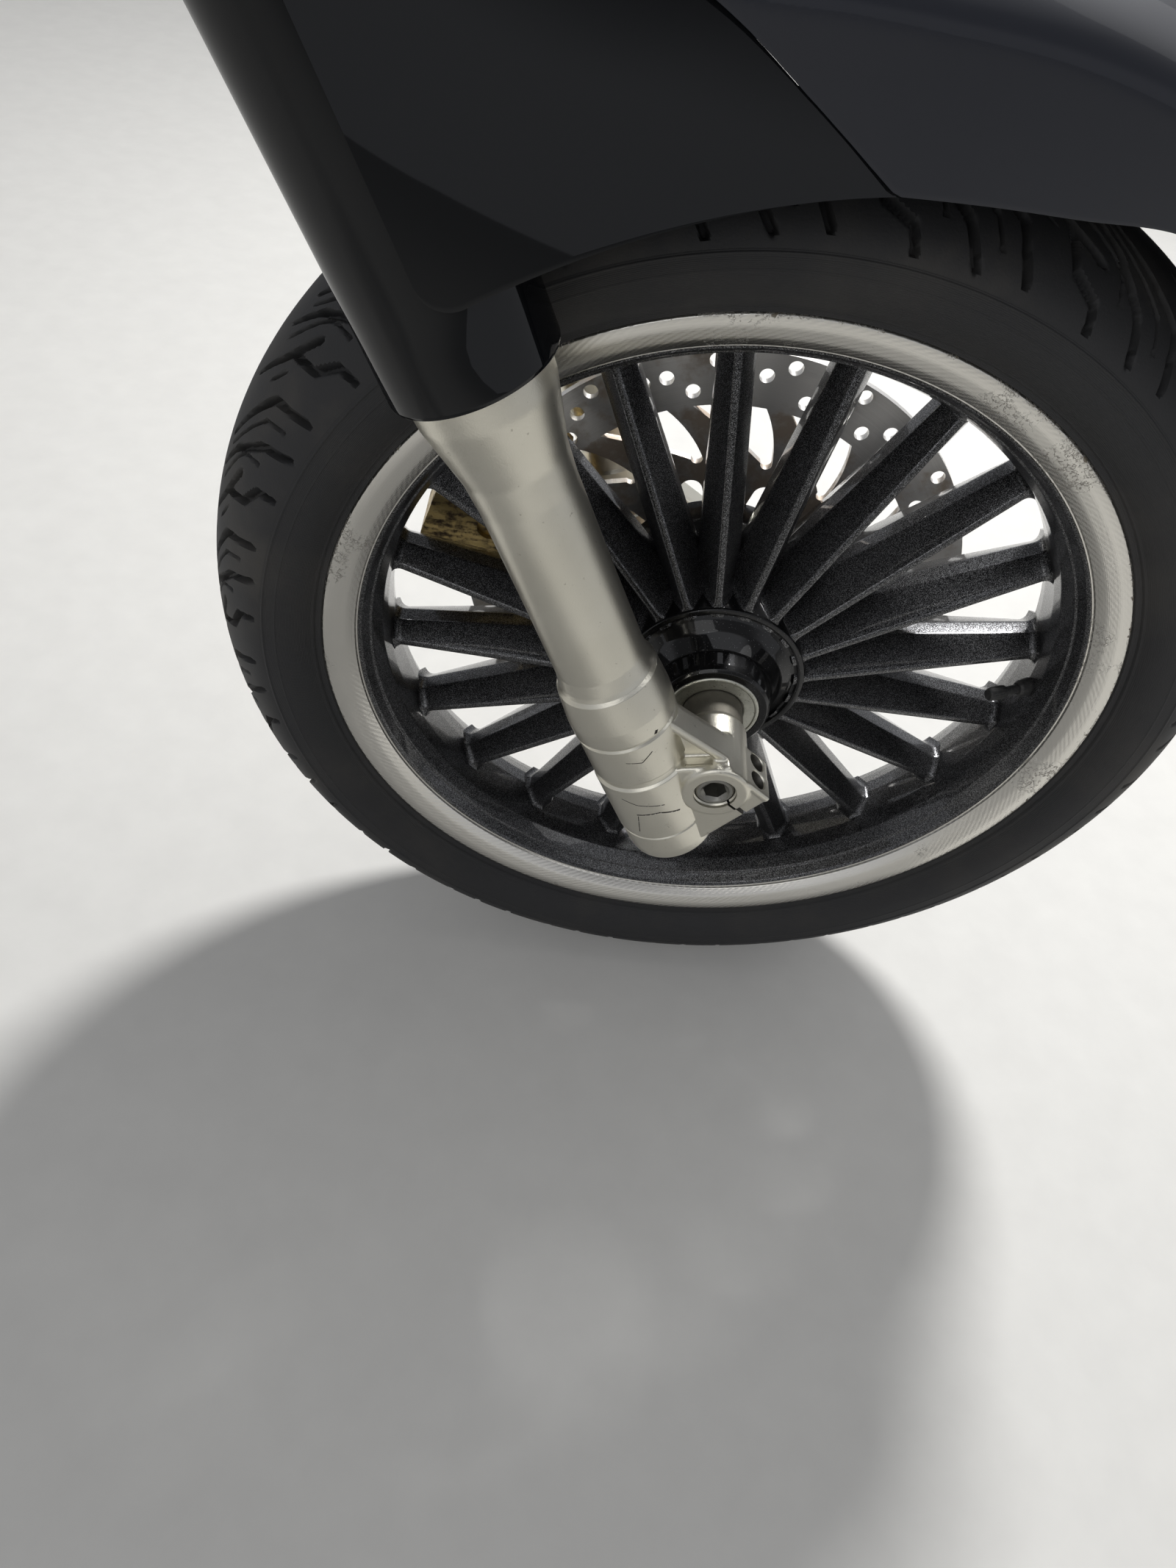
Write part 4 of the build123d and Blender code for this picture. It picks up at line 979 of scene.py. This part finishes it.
# %% Valve
def valve():
    foot = stack(rounded([(0, 0.6), (5.6, 0.6, 0.8), (6.0, -1.0, 0.5), (4.9, -2.4, 0.6), (5.3, -4.2, 1.0),
                          (4.6, -10.5, 1.5), (3.6, -12.0, 0.4), (0, -12.2)]), 48)
    stem = stack(rounded([(0, -11.5), (2.6, -11.5), (2.6, -31.0), (0, -31.0)]), 32)

    def ribs(angle):
        return 3.9 + 0.14 * math.cos(16 * angle)

    cap = stack([(0, -20.8), (3.3, -20.8), (3.8, -21.3), (ribs, -22.2), (ribs, -29.6), (3.7, -31.0),
                 (3.1, -31.9), (0, -32.0)], 96)
    return together(foot, stem, cap)


at_rim = Matrix.Translation((190.0, -10.0, 0)) @ Matrix.Rotation(math.radians(22), 4, "Z")
along_x = Matrix.Rotation(math.radians(90), 4, "Y")
at_valve = WHEEL @ turned(3.5) @ at_rim @ along_x
piece("valve_and_cap", valve(), at_valve, "wheel", "rubber", SEAL_RUBBER, "valve")

# %% [markdown]
# The brake disc's solid already has its holes and arms, so it stays and only gets its finish.
# Its five bolts are button heads with a hexagon socket.

# %% Disc and its bolts
def finish_node(name, *materials, bevel=0.0):
    """Finish for a solid that shows as it is, with its edges taken off if a width is given."""
    thing = frame["nodes"][name]
    thing.data.materials.clear()
    for material in materials:
        thing.data.materials.append(material)
    if bevel:
        weld = thing.modifiers.new("weld", "WELD")
        weld.merge_threshold = 1e-6
        edge = thing.modifiers.new("edge", "BEVEL")
        edge.width = bevel * MM
        edge.segments = 2
        edge.angle_limit = math.radians(38)
        edge.harden_normals = True
    return thing


finish_node("brake_disc", DISC_STEEL)
heads = []
for i in range(5):
    head = socket_head(5.9, 2.95, 4.0, 1.9, chamfer=1.0)
    spot = turned(20 + math.degrees(RAKE) + 72 * i) @ Matrix.Translation((43.0, 61.0, 0)) @ facing(LEFT)
    heads.append(moved(head, spot))
piece("disc_bolt_heads", together(*heads), WHEEL, "wheel", "steel", BOLT_STEEL, "disc_bolts")

# %% [markdown]
# The lower legs are turned sections too, with a shallow step at each cast seam. Corners are
# softened by a millimetre or two, as sand casting leaves them.

# %% Lower legs
# From the foot up: radius, height above the axle, fillet
LEG_LINE = [
    (0, -45.5), (20.5, -45.5, 4.0), (24.4, -42.0, 3.0), (25.2, -36.0, 6.0), (25.6, -23.4, 0.6),
    (25.0, -22.7, 0.3), (25.1, -21.7, 0.3), (25.9, -20.9, 0.6), (26.3, 0.0, 10.0), (26.6, 19.0, 0.8),
    (25.1, 20.3, 0.6),
    (25.0, 23.4, 0.6), (26.2, 24.7, 0.8), (26.4, 48.9, 0.8), (25.4, 50.2, 0.3), (25.6, 51.2, 0.3),
    (26.9, 52.3, 0.8), (27.0, 62.0, 6.0), (25.3, 80.4, 1.0), (23.8, 82.2, 0.5), (23.2, 84.6, 1.0),
    (22.2, 92.0, 6.0), (21.8, 134.0, 40.0), (21.8, 186.0, 30.0),
    (22.8, 201.0, 26.0), (25.8, 215.0, 30.0), (28.8, 229.0, 24.0), (29.5, COVER_FOOT, 6.0),
    (29.5, BELL_TOP - 1, 0.8), (28.6, BELL_TOP, 0.4), (24.3, BELL_TOP), (24.3, BELL_TOP - 8),
    (17.7, BELL_TOP - 10), (17.7, BELL_TOP - 40),
]


# %% [markdown]
# The axle's lug is a small casting: a clamp plate, a wedge that rises to the leg, and
# the boss that faces the wheel. The blocks are joined, remeshed to one skin and smoothed,
# which rounds every inner corner as a casting has it. Decimate then drops the points that flat
# faces don't need. The bore, the slot and the bolt holes are cut afterwards, so that they stay
# as crisp as machined ones. On the right lug the walls of the slot and the bolt holes get dark steel, which
# is painted shade for the shade inside them, together with some oxide.

# %% Lugs
# Outlines on the upright leg: forward of its centre line, above the axle, fillet
CLAMP = [(-4, 20.5), (22, 20.5, 2.0), (45.3, 15.5, 1.0), (60.0, -14.0, 2.0), (20, -37.0, 3.0), (-4, -43)]
GUSSET = [(-4, 52), (21.5, 52), (46.0, 14.0, 2.0), (52.0, 2.0), (-4, 2)]
RIDGE = [(21.4, 52.8), (45.7, 14.7), (41.7, 12.2), (17.4, 50.4)]
FRONT_BEAD = [(47.4, 11.0), (60.0, -13.6), (57.0, -15.4), (44.4, 9.6)]
GROOVE = [(23.5, 18.9), (37.0, 16.1), (37.0, 26.0), (23.5, 26.0)]
# Each plate of the lug: outline, inner and outer distance from the middle plane, fillet
LUG_PLATES = [(CLAMP, 87.5, 113.0, 1.5), (GUSSET, 89.0, 103.5, 1.5), (RIDGE, 91.0, 107.6, 1.6),
              (FRONT_BEAD, 100.0, 114.0, 1.3)]
LUG_VOXEL = 0.7
LUG_SMOOTHING = 4          # passes
LUG_KEPT = 0.3             # share of the points that Decimate keeps
AHEAD = Matrix.Translation((AXLE_AHEAD, 0, 0))
# The slot's direction from the axle and the bolts' direction square to it, forward and up
SLOT_WAY = np.array([0.446, -0.895])
BOLT_WAY = np.array([0.895, 0.446])
SLOT_STEP = 17.5           # from the axle to where the slot widens
SLOT_HALVES = (0.7, 1.3)
BOLT_SEAT = (47.6, -9.8)
BOLT_TILT = math.atan2(BOLT_WAY[1], BOLT_WAY[0])
BOLT_COLUMNS = (-93.4, -105.4)
HOLE_RADIUS = 5.2
HOLE_FLOOR = -2.0
HOLE_DEPTH = 8.6
NEAR = 0.05                # how far off a wall its faces' middles may lie


def cut_out(thing, *cutters):
    """Take other shapes out of a thing, one after the other."""
    for shape in cutters:
        tool = mesh_object("cutter", shape)
        cut = thing.modifiers.new("cut", "BOOLEAN")
        cut.object = tool
        cut.operation = "DIFFERENCE"
        cut.solver = "EXACT"
        baked(thing)
        bpy.data.objects.remove(tool)
    return thing


def fused(shapes):
    """Several closed shapes as one skin with softened inner corners, in millimetres."""
    thing = mesh_object("casting", together(*shapes), weld=False)
    one = thing.modifiers.new("one", "REMESH")
    one.mode = "VOXEL"
    one.voxel_size = LUG_VOXEL
    soften = thing.modifiers.new("soften", "SMOOTH")
    soften.iterations = LUG_SMOOTHING
    soften.factor = 0.5
    fewer = thing.modifiers.new("fewer", "DECIMATE")
    fewer.ratio = LUG_KEPT
    return baked(thing)


def across_line(line):
    """Turned outline whose heights count from the middle plane, on the axle and about the leg."""
    return moved(stack([(radius, y - LEG_Y) for radius, y in line], 64), AHEAD @ facing(LEFT))


def lug():
    """Lug of one leg, about the leg's foot, with Y away from the scooter's middle."""
    plates = [slab(rounded(outline, closed=True), inner - LEG_Y, outer - LEG_Y, fillet)
              for outline, inner, outer, fillet in LUG_PLATES]
    boss = across_line([(0, 73), (16.8, 73), (17.8, 74), (17.8, 113.8), (16.8, 115.2), (0, 115.2)])
    core = stack([(0, -43), (19.0, -43), (23.4, -39), (24.4, -26), (24.4, -19), (25.6, -8), (25.8, 15),
                  (24.3, 20), (24.3, 24), (25.6, 28), (25.6, 46), (24.7, 51), (26.0, 57), (24.2, 76),
                  (21.0, 90), (21.0, 110), (0, 110)], 96)
    return fused([*plates, boss, core])


def slot_outline():
    """Slot from the bore outwards: thin through the boss, wider beyond it."""
    centre = np.array([AXLE_AHEAD, 0.0])
    thin, wide = SLOT_HALVES
    half = [(0.0, thin), (SLOT_STEP, thin), (SLOT_STEP, wide), (60.0, wide)]
    there = [centre + SLOT_WAY * far + BOLT_WAY * out for far, out in half]
    back = [centre + SLOT_WAY * far - BOLT_WAY * out for far, out in reversed(half)]
    return [tuple(p) for p in there + back]


def bolt_spot(y):
    """Place of a clamp bolt's seat on the upright leg, with Z along the bolt."""
    turn = Matrix.Rotation(math.radians(90) - BOLT_TILT, 4, "Y")
    return Matrix.Translation((BOLT_SEAT[0], y, BOLT_SEAT[1])) @ turn


def lug_cuts(side):
    """Bore and groove, and on the right the slot and the bolt holes."""
    bore = across_line([(0, 65), (12.6, 65), (12.6, 73.6), (10.9, 75.0), (10.4, 75.4), (10.4, 112.8),
                        (11.2, 113.6), (11.6, 130), (0, 130)])
    cuts = [bore, slab(GROOVE, 109.3 - LEG_Y, 110.5 - LEG_Y)]
    if side == RIGHT:
        cuts.append(slab(slot_outline(), -30, 30))
        hole = stack([(0, HOLE_FLOOR), (HOLE_RADIUS, HOLE_FLOOR), (HOLE_RADIUS, HOLE_DEPTH),
                      (5.8, HOLE_DEPTH + 0.8), (6.2, 20), (0, 20)], 40)
        cuts += [moved(hole, bolt_spot(-y - LEG_Y)) for y in BOLT_COLUMNS]
    return cuts


def in_hole(point):
    """Whether a point lies in a bolt hole, or behind it in line with it."""
    for y in BOLT_COLUMNS:
        spot = bolt_spot(-y - LEG_Y).inverted() @ point
        if math.hypot(spot.x, spot.y) < HOLE_RADIUS + NEAR and spot.z < HOLE_DEPTH:
            return True
    return False


def in_slot(point, normal):
    """Whether a point with a normal lies on a wall of the slot."""
    from_axle = np.array([point.x - AXLE_AHEAD, point.z])
    on_wall = abs(np.dot((normal.x, normal.z), BOLT_WAY)) > 0.9
    return on_wall and from_axle @ SLOT_WAY > 10 and abs(from_axle @ BOLT_WAY) < SLOT_HALVES[1] + NEAR


for word, side in SIDES.items():
    across = Matrix.Diagonal((1, side, 1, 1))
    leg = stack(rounded(LEG_LINE), steps=112)
    piece("leg_" + word, leg, leg_place(side), "fork", "slider_silver", SATIN_SILVER, "slider_" + word)
    casting = cut_out(lug(), *lug_cuts(side))
    # Faces on the walls of the right lug's bolt holes and slot: they get dark steel as painted shade, with
    # some oxide.
    deep = []
    if side == RIGHT:
        deep = [f.index for f in casting.data.polygons if in_hole(f.center) or in_slot(f.center, f.normal)]
    casting.data.transform(leg_place(side) @ across)
    if side == RIGHT:
        casting.data.flip_normals()
    casting.name = "lug_" + word
    finishes = [SATIN_SILVER, DARK_STEEL_AND_SHADE] if deep else [SATIN_SILVER]
    dressed(smooth(casting, 40), "fork", "slider_silver", finishes)
    for number in deep:
        casting.data.polygons[number].material_index = 1

# %% [markdown]
# The axle is a hollow-headed bar with a hexagon for the key. Its head has a broad chamfer,
# and the two clamp bolts sit deep in their holes.

# %% Axle and clamp bolts
def axle_bar():
    key = hexagon(11.0)
    line = [(0, -113.0), (8.6, -113.0), (10.0, -111.6), (10.0, 110.5), (10.0, 112.6), (9.0, 113.6),
            (7.6, 113.6), (7.3, 113.2), (key, 112.0), (key, 102.5), (0, 100.5)]
    return stack(line, 96)


piece("axle_bar", axle_bar(), AXLE_ON_FORK @ facing(RIGHT), "fork", "steel", AXLE_STEEL, "axle")
bolts = []
for y in BOLT_COLUMNS:
    head = socket_head(4.7, 4.6, 5.0, 3.0, shank=3.0, shank_length=24)
    bolts.append(moved(head, bolt_spot(y + LEG_Y)))
piece("clamp_bolt_heads", together(*bolts), leg_place(RIGHT), "fork", "steel", DARK_STEEL_AND_SHADE, "clamp_bolts")

# %% [markdown]
# The chromed stanchions slide in the lower legs under a rubber dust seal with two lips.

# %% Stanchions and dust seals
for word, side in SIDES.items():
    tube = [(15.0, 75.5), (17.4, 75.5), (17.4, 501.4, 0.5), (16.0, 502.8, 0.5), (9.5, 502.8), (9.5, 498.0),
            (0, 498.0)]
    piece("stanchion_tube_" + word, stack(rounded(tube), 96), leg_place(side), "fork", "chrome", CHROME,
          "stanchion_" + word)
    lip = [(17.6, -9.0), (24.0, -9.0), (24.0, 0.2), (26.8, 0.2, 0.5), (26.9, 1.8, 0.6), (25.4, 3.2, 1.0),
           (22.5, 3.8, 1.0), (21.0, 5.4, 1.0), (18.6, 5.9, 0.5), (17.6, 5.9)]
    on_bell = leg_place(side) @ Matrix.Translation((0, 0, BELL_TOP))
    piece("dust_lip_" + word, stack(rounded(lip), 96, loop=True), on_bell, "fork", "rubber",
          SEAL_RUBBER, "dust_seal_" + word)

# %% [markdown]
# Each leg cover is moulded in one with a side panel. The tube is turned, and pressed a little
# flatter where the panel stands on it. The panel is a sheet of points between the wheel arch's
# edge and the seam above, given a wall by a Solidify modifier and rounded edges by a Bevel.

# %% Covers and side panels
COVER_RADIUS = 34.5
COVER_FLAT = 31.7          # how far out the tube reaches under the panel
PRESS_START = 238.0        # above the axle
PRESS_LENGTH = 36.0
PANEL_START = LEG_LEAD + 3.0
PANEL_END = LEG_LEAD + 154.8
PANEL_CORNER = 13.0
PANEL_WALL = 5.6
PANEL_EDGE = 2.7
PANEL_BEND = 92.0
PANEL_NOSE = 170.0
ARCH_EDGE = 275.0
# Level slices: height, half width at the bend, half width at the nose
PANEL_ROWS = np.array([(210.0, 111.5, 81.0), (260.0, 110.0, 76.5), (310.0, 106.0, 68.0),
                       (400.0, 92.0, 46.0)])
# Seam: x on the upright fork, height above the axle
SEAM = np.array([(16.0, 397.0), (43.0, 389.0), (68.0, 373.0), (101.0, 349.0), (128.0, 319.0),
                 (150.0, 283.0), (168.0, 252.0), (175.0, 240.0)])


def through_rows(rows, place):
    """Smooth curve through a table's rows: every column at a value of the first one."""
    known = rows[:, 0]
    order = np.argsort(known)
    known, values = known[order], rows[order]
    slopes = np.gradient(values, known, axis=0)
    k = np.clip(np.searchsorted(known, place) - 1, 0, len(known) - 2)
    h = known[k + 1] - known[k]
    t = ((place - known[k]) / h)[..., None]
    step = h[..., None]
    a, b = values[k], values[k + 1]
    ma, mb = slopes[k] * step, slopes[k + 1] * step
    return (2*t**3 - 3*t**2 + 1) * a + (t**3 - 2*t**2 + t) * ma + (3*t**2 - 2*t**3) * b + (t**3 - t**2) * mb


def seam_height(x):
    """Height of the seam at a place along the fork, as one smooth curve."""
    return through_rows(SEAM, np.asarray(x, float))[..., 1]


def panel_y(x, height):
    """Half width of a side panel: an arc through the tube's outermost line, the bend and the nose."""
    row = through_rows(PANEL_ROWS, height)
    bend, nose = row[..., 1], row[..., 2]
    ax, ay = LEG_LEAD, LEG_Y + COVER_RADIUS
    ux, uy = centre_of((ax, ay), (PANEL_BEND, bend), (PANEL_NOSE, nose))
    return uy + np.sqrt(np.maximum((ax - ux) ** 2 + (ay - uy) ** 2 - (x - ux) ** 2, 1.0))


def panel_sheet():
    bend = PANEL_CORNER * (1 - np.cos(np.linspace(0, math.pi / 2, 16)))
    start = PANEL_START + PANEL_CORNER
    run = start + (PANEL_END - start) * (1 - (1 - np.linspace(0, 1, 100)) ** 1.15)
    x = np.concatenate([PANEL_START + bend, run[1:]])
    low = np.sqrt(ARCH_EDGE**2 - (x - LEG_LEAD - AXLE_AHEAD) ** 2)
    into = np.clip(PANEL_CORNER - (x - PANEL_START), 0, None)
    low += PANEL_CORNER - np.sqrt(PANEL_CORNER**2 - into**2)
    high = np.maximum(seam_height(x), low + 0.4)
    share = np.linspace(0, 1, 60)[:, None]
    height = low + (high - low) * share
    xs = np.broadcast_to(x, height.shape)
    return np.stack([xs, panel_y(xs, height), height - SEAT_HEIGHT], -1)


def shell(name, shape, matrix, wall, edge, inside=-1.0):
    """Sheet with a wall and rounded edges."""
    thing = mesh_object(name, shape, matrix)
    thick = thing.modifiers.new("wall", "SOLIDIFY")
    thick.thickness = wall * MM
    thick.offset = inside
    thick.use_even_offset = True
    rim = thing.modifiers.new("rim", "BEVEL")
    rim.width = edge * MM
    rim.segments = 3
    rim.angle_limit = math.radians(50)
    baked(thing)
    return smooth(thing, 40)


def pressed(shape, side):
    """Cover tube, a little flatter on its outer side from where the panel stands on it."""
    verts, faces = shape
    points = np.array(verts, float)
    share = np.clip((points[:, 2] - PRESS_START) / PRESS_LENGTH, 0, 1)
    squeeze = 1 - (1 - COVER_FLAT / COVER_RADIUS) * share * share * (3 - 2 * share)
    points[:, 1] *= np.where(points[:, 1] * side > 0, squeeze, 1)
    return points, faces


for word, side in SIDES.items():
    across = Matrix.Diagonal((1, side, 1, 1))
    sheet = shell("panel_" + word, grid(panel_sheet()), FORK @ across, PANEL_WALL, PANEL_EDGE)
    dressed(sheet, "fork", "cover_black", [GLOSS_BLACK], "mudguard_side_" + word)
    tube = [(31.4, 392.0), (31.4, 275.0), (31.6, 255.0), (32.0, COVER_FOOT + 5),
            (32.0, COVER_FOOT + 1.6, 0.8), (32.8, COVER_FOOT, 0.8), (34.0, COVER_FOOT, 1.0),
            (COVER_RADIUS, COVER_FOOT + 1.6, 0.8), *[(COVER_RADIUS, z) for z in range(244, 275, 6)],
            (COVER_RADIUS, 394.0), (COVER_RADIUS, 397.9, 3.0), (20.6, 397.9, 0.6), (20.6, 395.2),
            (31.0, 395.2)]
    piece("cover_tube_" + word, pressed(stack(rounded(tube), 144), side), leg_place(side), "fork",
          "cover_black", GLOSS_BLACK)
    low, high = COVER_FOOT + 4.6, COVER_FOOT + 7.4
    ring = stack([(29.8, low), (32.4, low), (32.4, high), (29.8, high)], 96, loop=True)
    piece("cover_ring_" + word, ring, leg_place(side), "fork", "cover_black", SATIN_BLACK)

# %% [markdown]
# The front mudguard arches over the tyre from its slim nose back to the legs. Slices across
# the wheel are written as a table: each has straight sides and an elliptical top. A curve
# through the slices makes the sheet, whose sides start at the seam where the panels are.

# %% Front mudguard
# Slices: angle from forward, edge radius and half width, shoulder radius and half width, crown radius
GUARD_ROWS = np.array([
    (31.0, 304.0, 37.0, 308.0, 37.3, 321.0), (40.0, 302.5, 47.0, 309.0, 47.5, 328.0),
    (50.0, 301.0, 55.0, 312.0, 55.5, 335.0), (60.0, 299.0, 61.0, 316.0, 62.0, 341.0),
    (70.0, 294.0, 66.5, 319.0, 68.5, 346.0), (77.0, 284.0, 70.5, 320.0, 73.0, 348.5),
    (84.0, 278.5, 74.0, 321.0, 77.0, 350.0), (91.0, 276.0, 77.0, 322.0, 80.5, 352.0),
    (96.0, 276.0, 78.5, 325.0, 84.0, 354.0), (102.0, 276.0, 80.0, 331.0, 88.5, 359.0),
    (108.0, 276.0, 82.0, 350.0, 98.0, 370.0), (114.0, 276.0, 84.0, 366.0, 108.0, 384.0),
])
SIDE_SHARE = 0.45
SEAM_GAP = 0.6


def slice_line(row, share):
    """(radius, half width) along one side of a slice, from its edge (0) to the crown (1)."""
    _, edge, edge_half, shoulder, shoulder_half, crown = row
    up = np.clip(share / SIDE_SHARE, 0, 1)
    turn = np.clip((share - SIDE_SHARE) / (1 - SIDE_SHARE), 0, 1) * math.pi / 2
    radius = edge + (shoulder - edge) * up + (crown - shoulder) * np.sin(turn)
    half = (edge_half + (shoulder_half - edge_half) * up) * np.where(share > SIDE_SHARE, np.cos(turn), 1)
    return radius, half


def guard_sheet():
    angles = np.linspace(31.0, 114.0, 120)
    rows = []
    for angle in angles:
        row = through_rows(GUARD_ROWS, np.array(angle))
        lean = math.radians(angle) - RAKE
        fine = np.linspace(0, 1, 900)
        radius, half = slice_line(row, fine)
        x = LEG_LEAD + AXLE_AHEAD + radius * math.cos(lean)
        z = radius * math.sin(lean)
        below = (z < seam_height(np.clip(x, 16, 175)) + SEAM_GAP) & (x < 175) & (half > 62)
        start = fine[np.nonzero(below)[0].max() + 1] if below.any() else 0.0
        share = start + (1 - start) * np.linspace(0, 1, 44)
        radius, half = slice_line(row, share)
        x = LEG_LEAD + AXLE_AHEAD + radius * math.cos(lean)
        z = radius * math.sin(lean) - SEAT_HEIGHT
        right = np.stack([x, -half, z], -1)
        left = np.stack([x, half, z], -1)[-2::-1]
        rows.append(np.concatenate([right, left]))
    return np.array(rows)


guard = shell("front_mudguard", grid(guard_sheet()), FORK, 3.0, 1.1, inside=1.0)
dressed(guard, "fork", "guard_blue", [GUARD_PAINT], "mudguard_front")

# %% [markdown]
# The crown, the stem and the caliper keep their solids. A Bevel takes the edges off, and
# each gets its own finish.

# %% Solids that show as they are
SHOWN_SOLIDS = [
    ("fork_crown", SATIN_BLACK, 1.2), ("steering_stem", DULL_STEEL, 0.5),
    ("crown_bolt_right", BOLT_STEEL, 0.6), ("crown_bolt_left", BOLT_STEEL, 0.6),
    ("brake_caliper", WORN_GOLD, 0.9), ("caliper_bolts", BOLT_STEEL, 0.5),
    ("brake_pad_inboard", PAD_LINING, 0.4), ("brake_pad_outboard", PAD_LINING, 0.4),
]
for name, material, edge in SHOWN_SOLIDS:
    finish_node(name, material, bevel=edge)

# %% [markdown]
# The studio: a pale floor at the foot of the tyre, a white surround, and large soft lamps. What
# the camera and mirrors see of the floor and the surround is made paler by the Light Path node,
# so that the background is bright without more light on the object.

# %% Floor and surround
FLOOR_Z = AXLE.z - TYRE_RADIUS * MM
FLOOR_REACH = 6.0
FLOOR_GLOW = 0.06          # added to what the camera and mirrors see of the floor


def seen_directly(finish):
    """1 for camera, mirror and glass rays."""
    rays = finish.node("ShaderNodeLightPath", out="Is Camera Ray")
    outputs = rays.socket.node.outputs
    for word in ("Is Glossy Ray", "Is Transmission Ray"):
        rays = rays.math("MAXIMUM", Wire(finish, outputs[word]))
    return rays


floor_finish = Finish("floor")
pores = floor_finish.noise(35, detail=8)
tone = floor_finish.mixed(pores, (0.56, 0.55, 0.525), (0.64, 0.63, 0.60))
floor_finish.feed(Base_Color=tone, Roughness=0.9, Emission_Color=(1, 1, 1))
floor_finish.feed(Emission_Strength=seen_directly(floor_finish) * FLOOR_GLOW)
corners = [(x * FLOOR_REACH, y * FLOOR_REACH, FLOOR_Z) for x, y in ((-1, -1), (1, -1), (1, 1), (-1, 1))]
floor = mesh_object("floor", (corners, [[0, 1, 2, 3]]))
floor.data.materials.append(floor_finish.material)

SURROUND_LIGHT = 0.25      # what lights dull surfaces
SURROUND_PALE = 0.62       # what the camera and mirrors see near the horizon
SURROUND_DIM = 0.40        # how much darker it is half way up
SURROUND_TOP = 0.60        # how much brighter again overhead
surround = Finish("surround", bpy.data.worlds.new("surround"))
bpy.context.scene.world = surround.material
up = surround.split(surround.node("ShaderNodeTexCoord", out="Generated"))[2]
shown = SURROUND_PALE - up.band(0.2, 0.42) * SURROUND_DIM + up.band(0.66, 0.86) * SURROUND_TOP
strength = SURROUND_LIGHT + seen_directly(surround) * (shown - SURROUND_LIGHT)
surround.feed(Color=(0.93, 0.95, 1.0), Strength=strength)

# %% Lamps
# Name, place, size, power, all aimed at the axle
LAMPS = [
    ("key", (0.8, 1.25, 1.35), 0.4, 66),
    ("fill", (-0.5, -1.6, 0.9), 1.6, 7),
    ("front", (1.7, 0.3, 1.3), 1.5, 7),
]
for name, place, size, power in LAMPS:
    data = bpy.data.lights.new(name, "AREA")
    data.shape = "DISK"
    data.size = size
    data.energy = power
    lamp = bpy.data.objects.new(name, data)
    bpy.context.scene.collection.objects.link(lamp)
    lamp.location = place
    aim = AXLE - Vector(place)
    lamp.rotation_euler = aim.to_track_quat("-Z", "Y").to_euler()
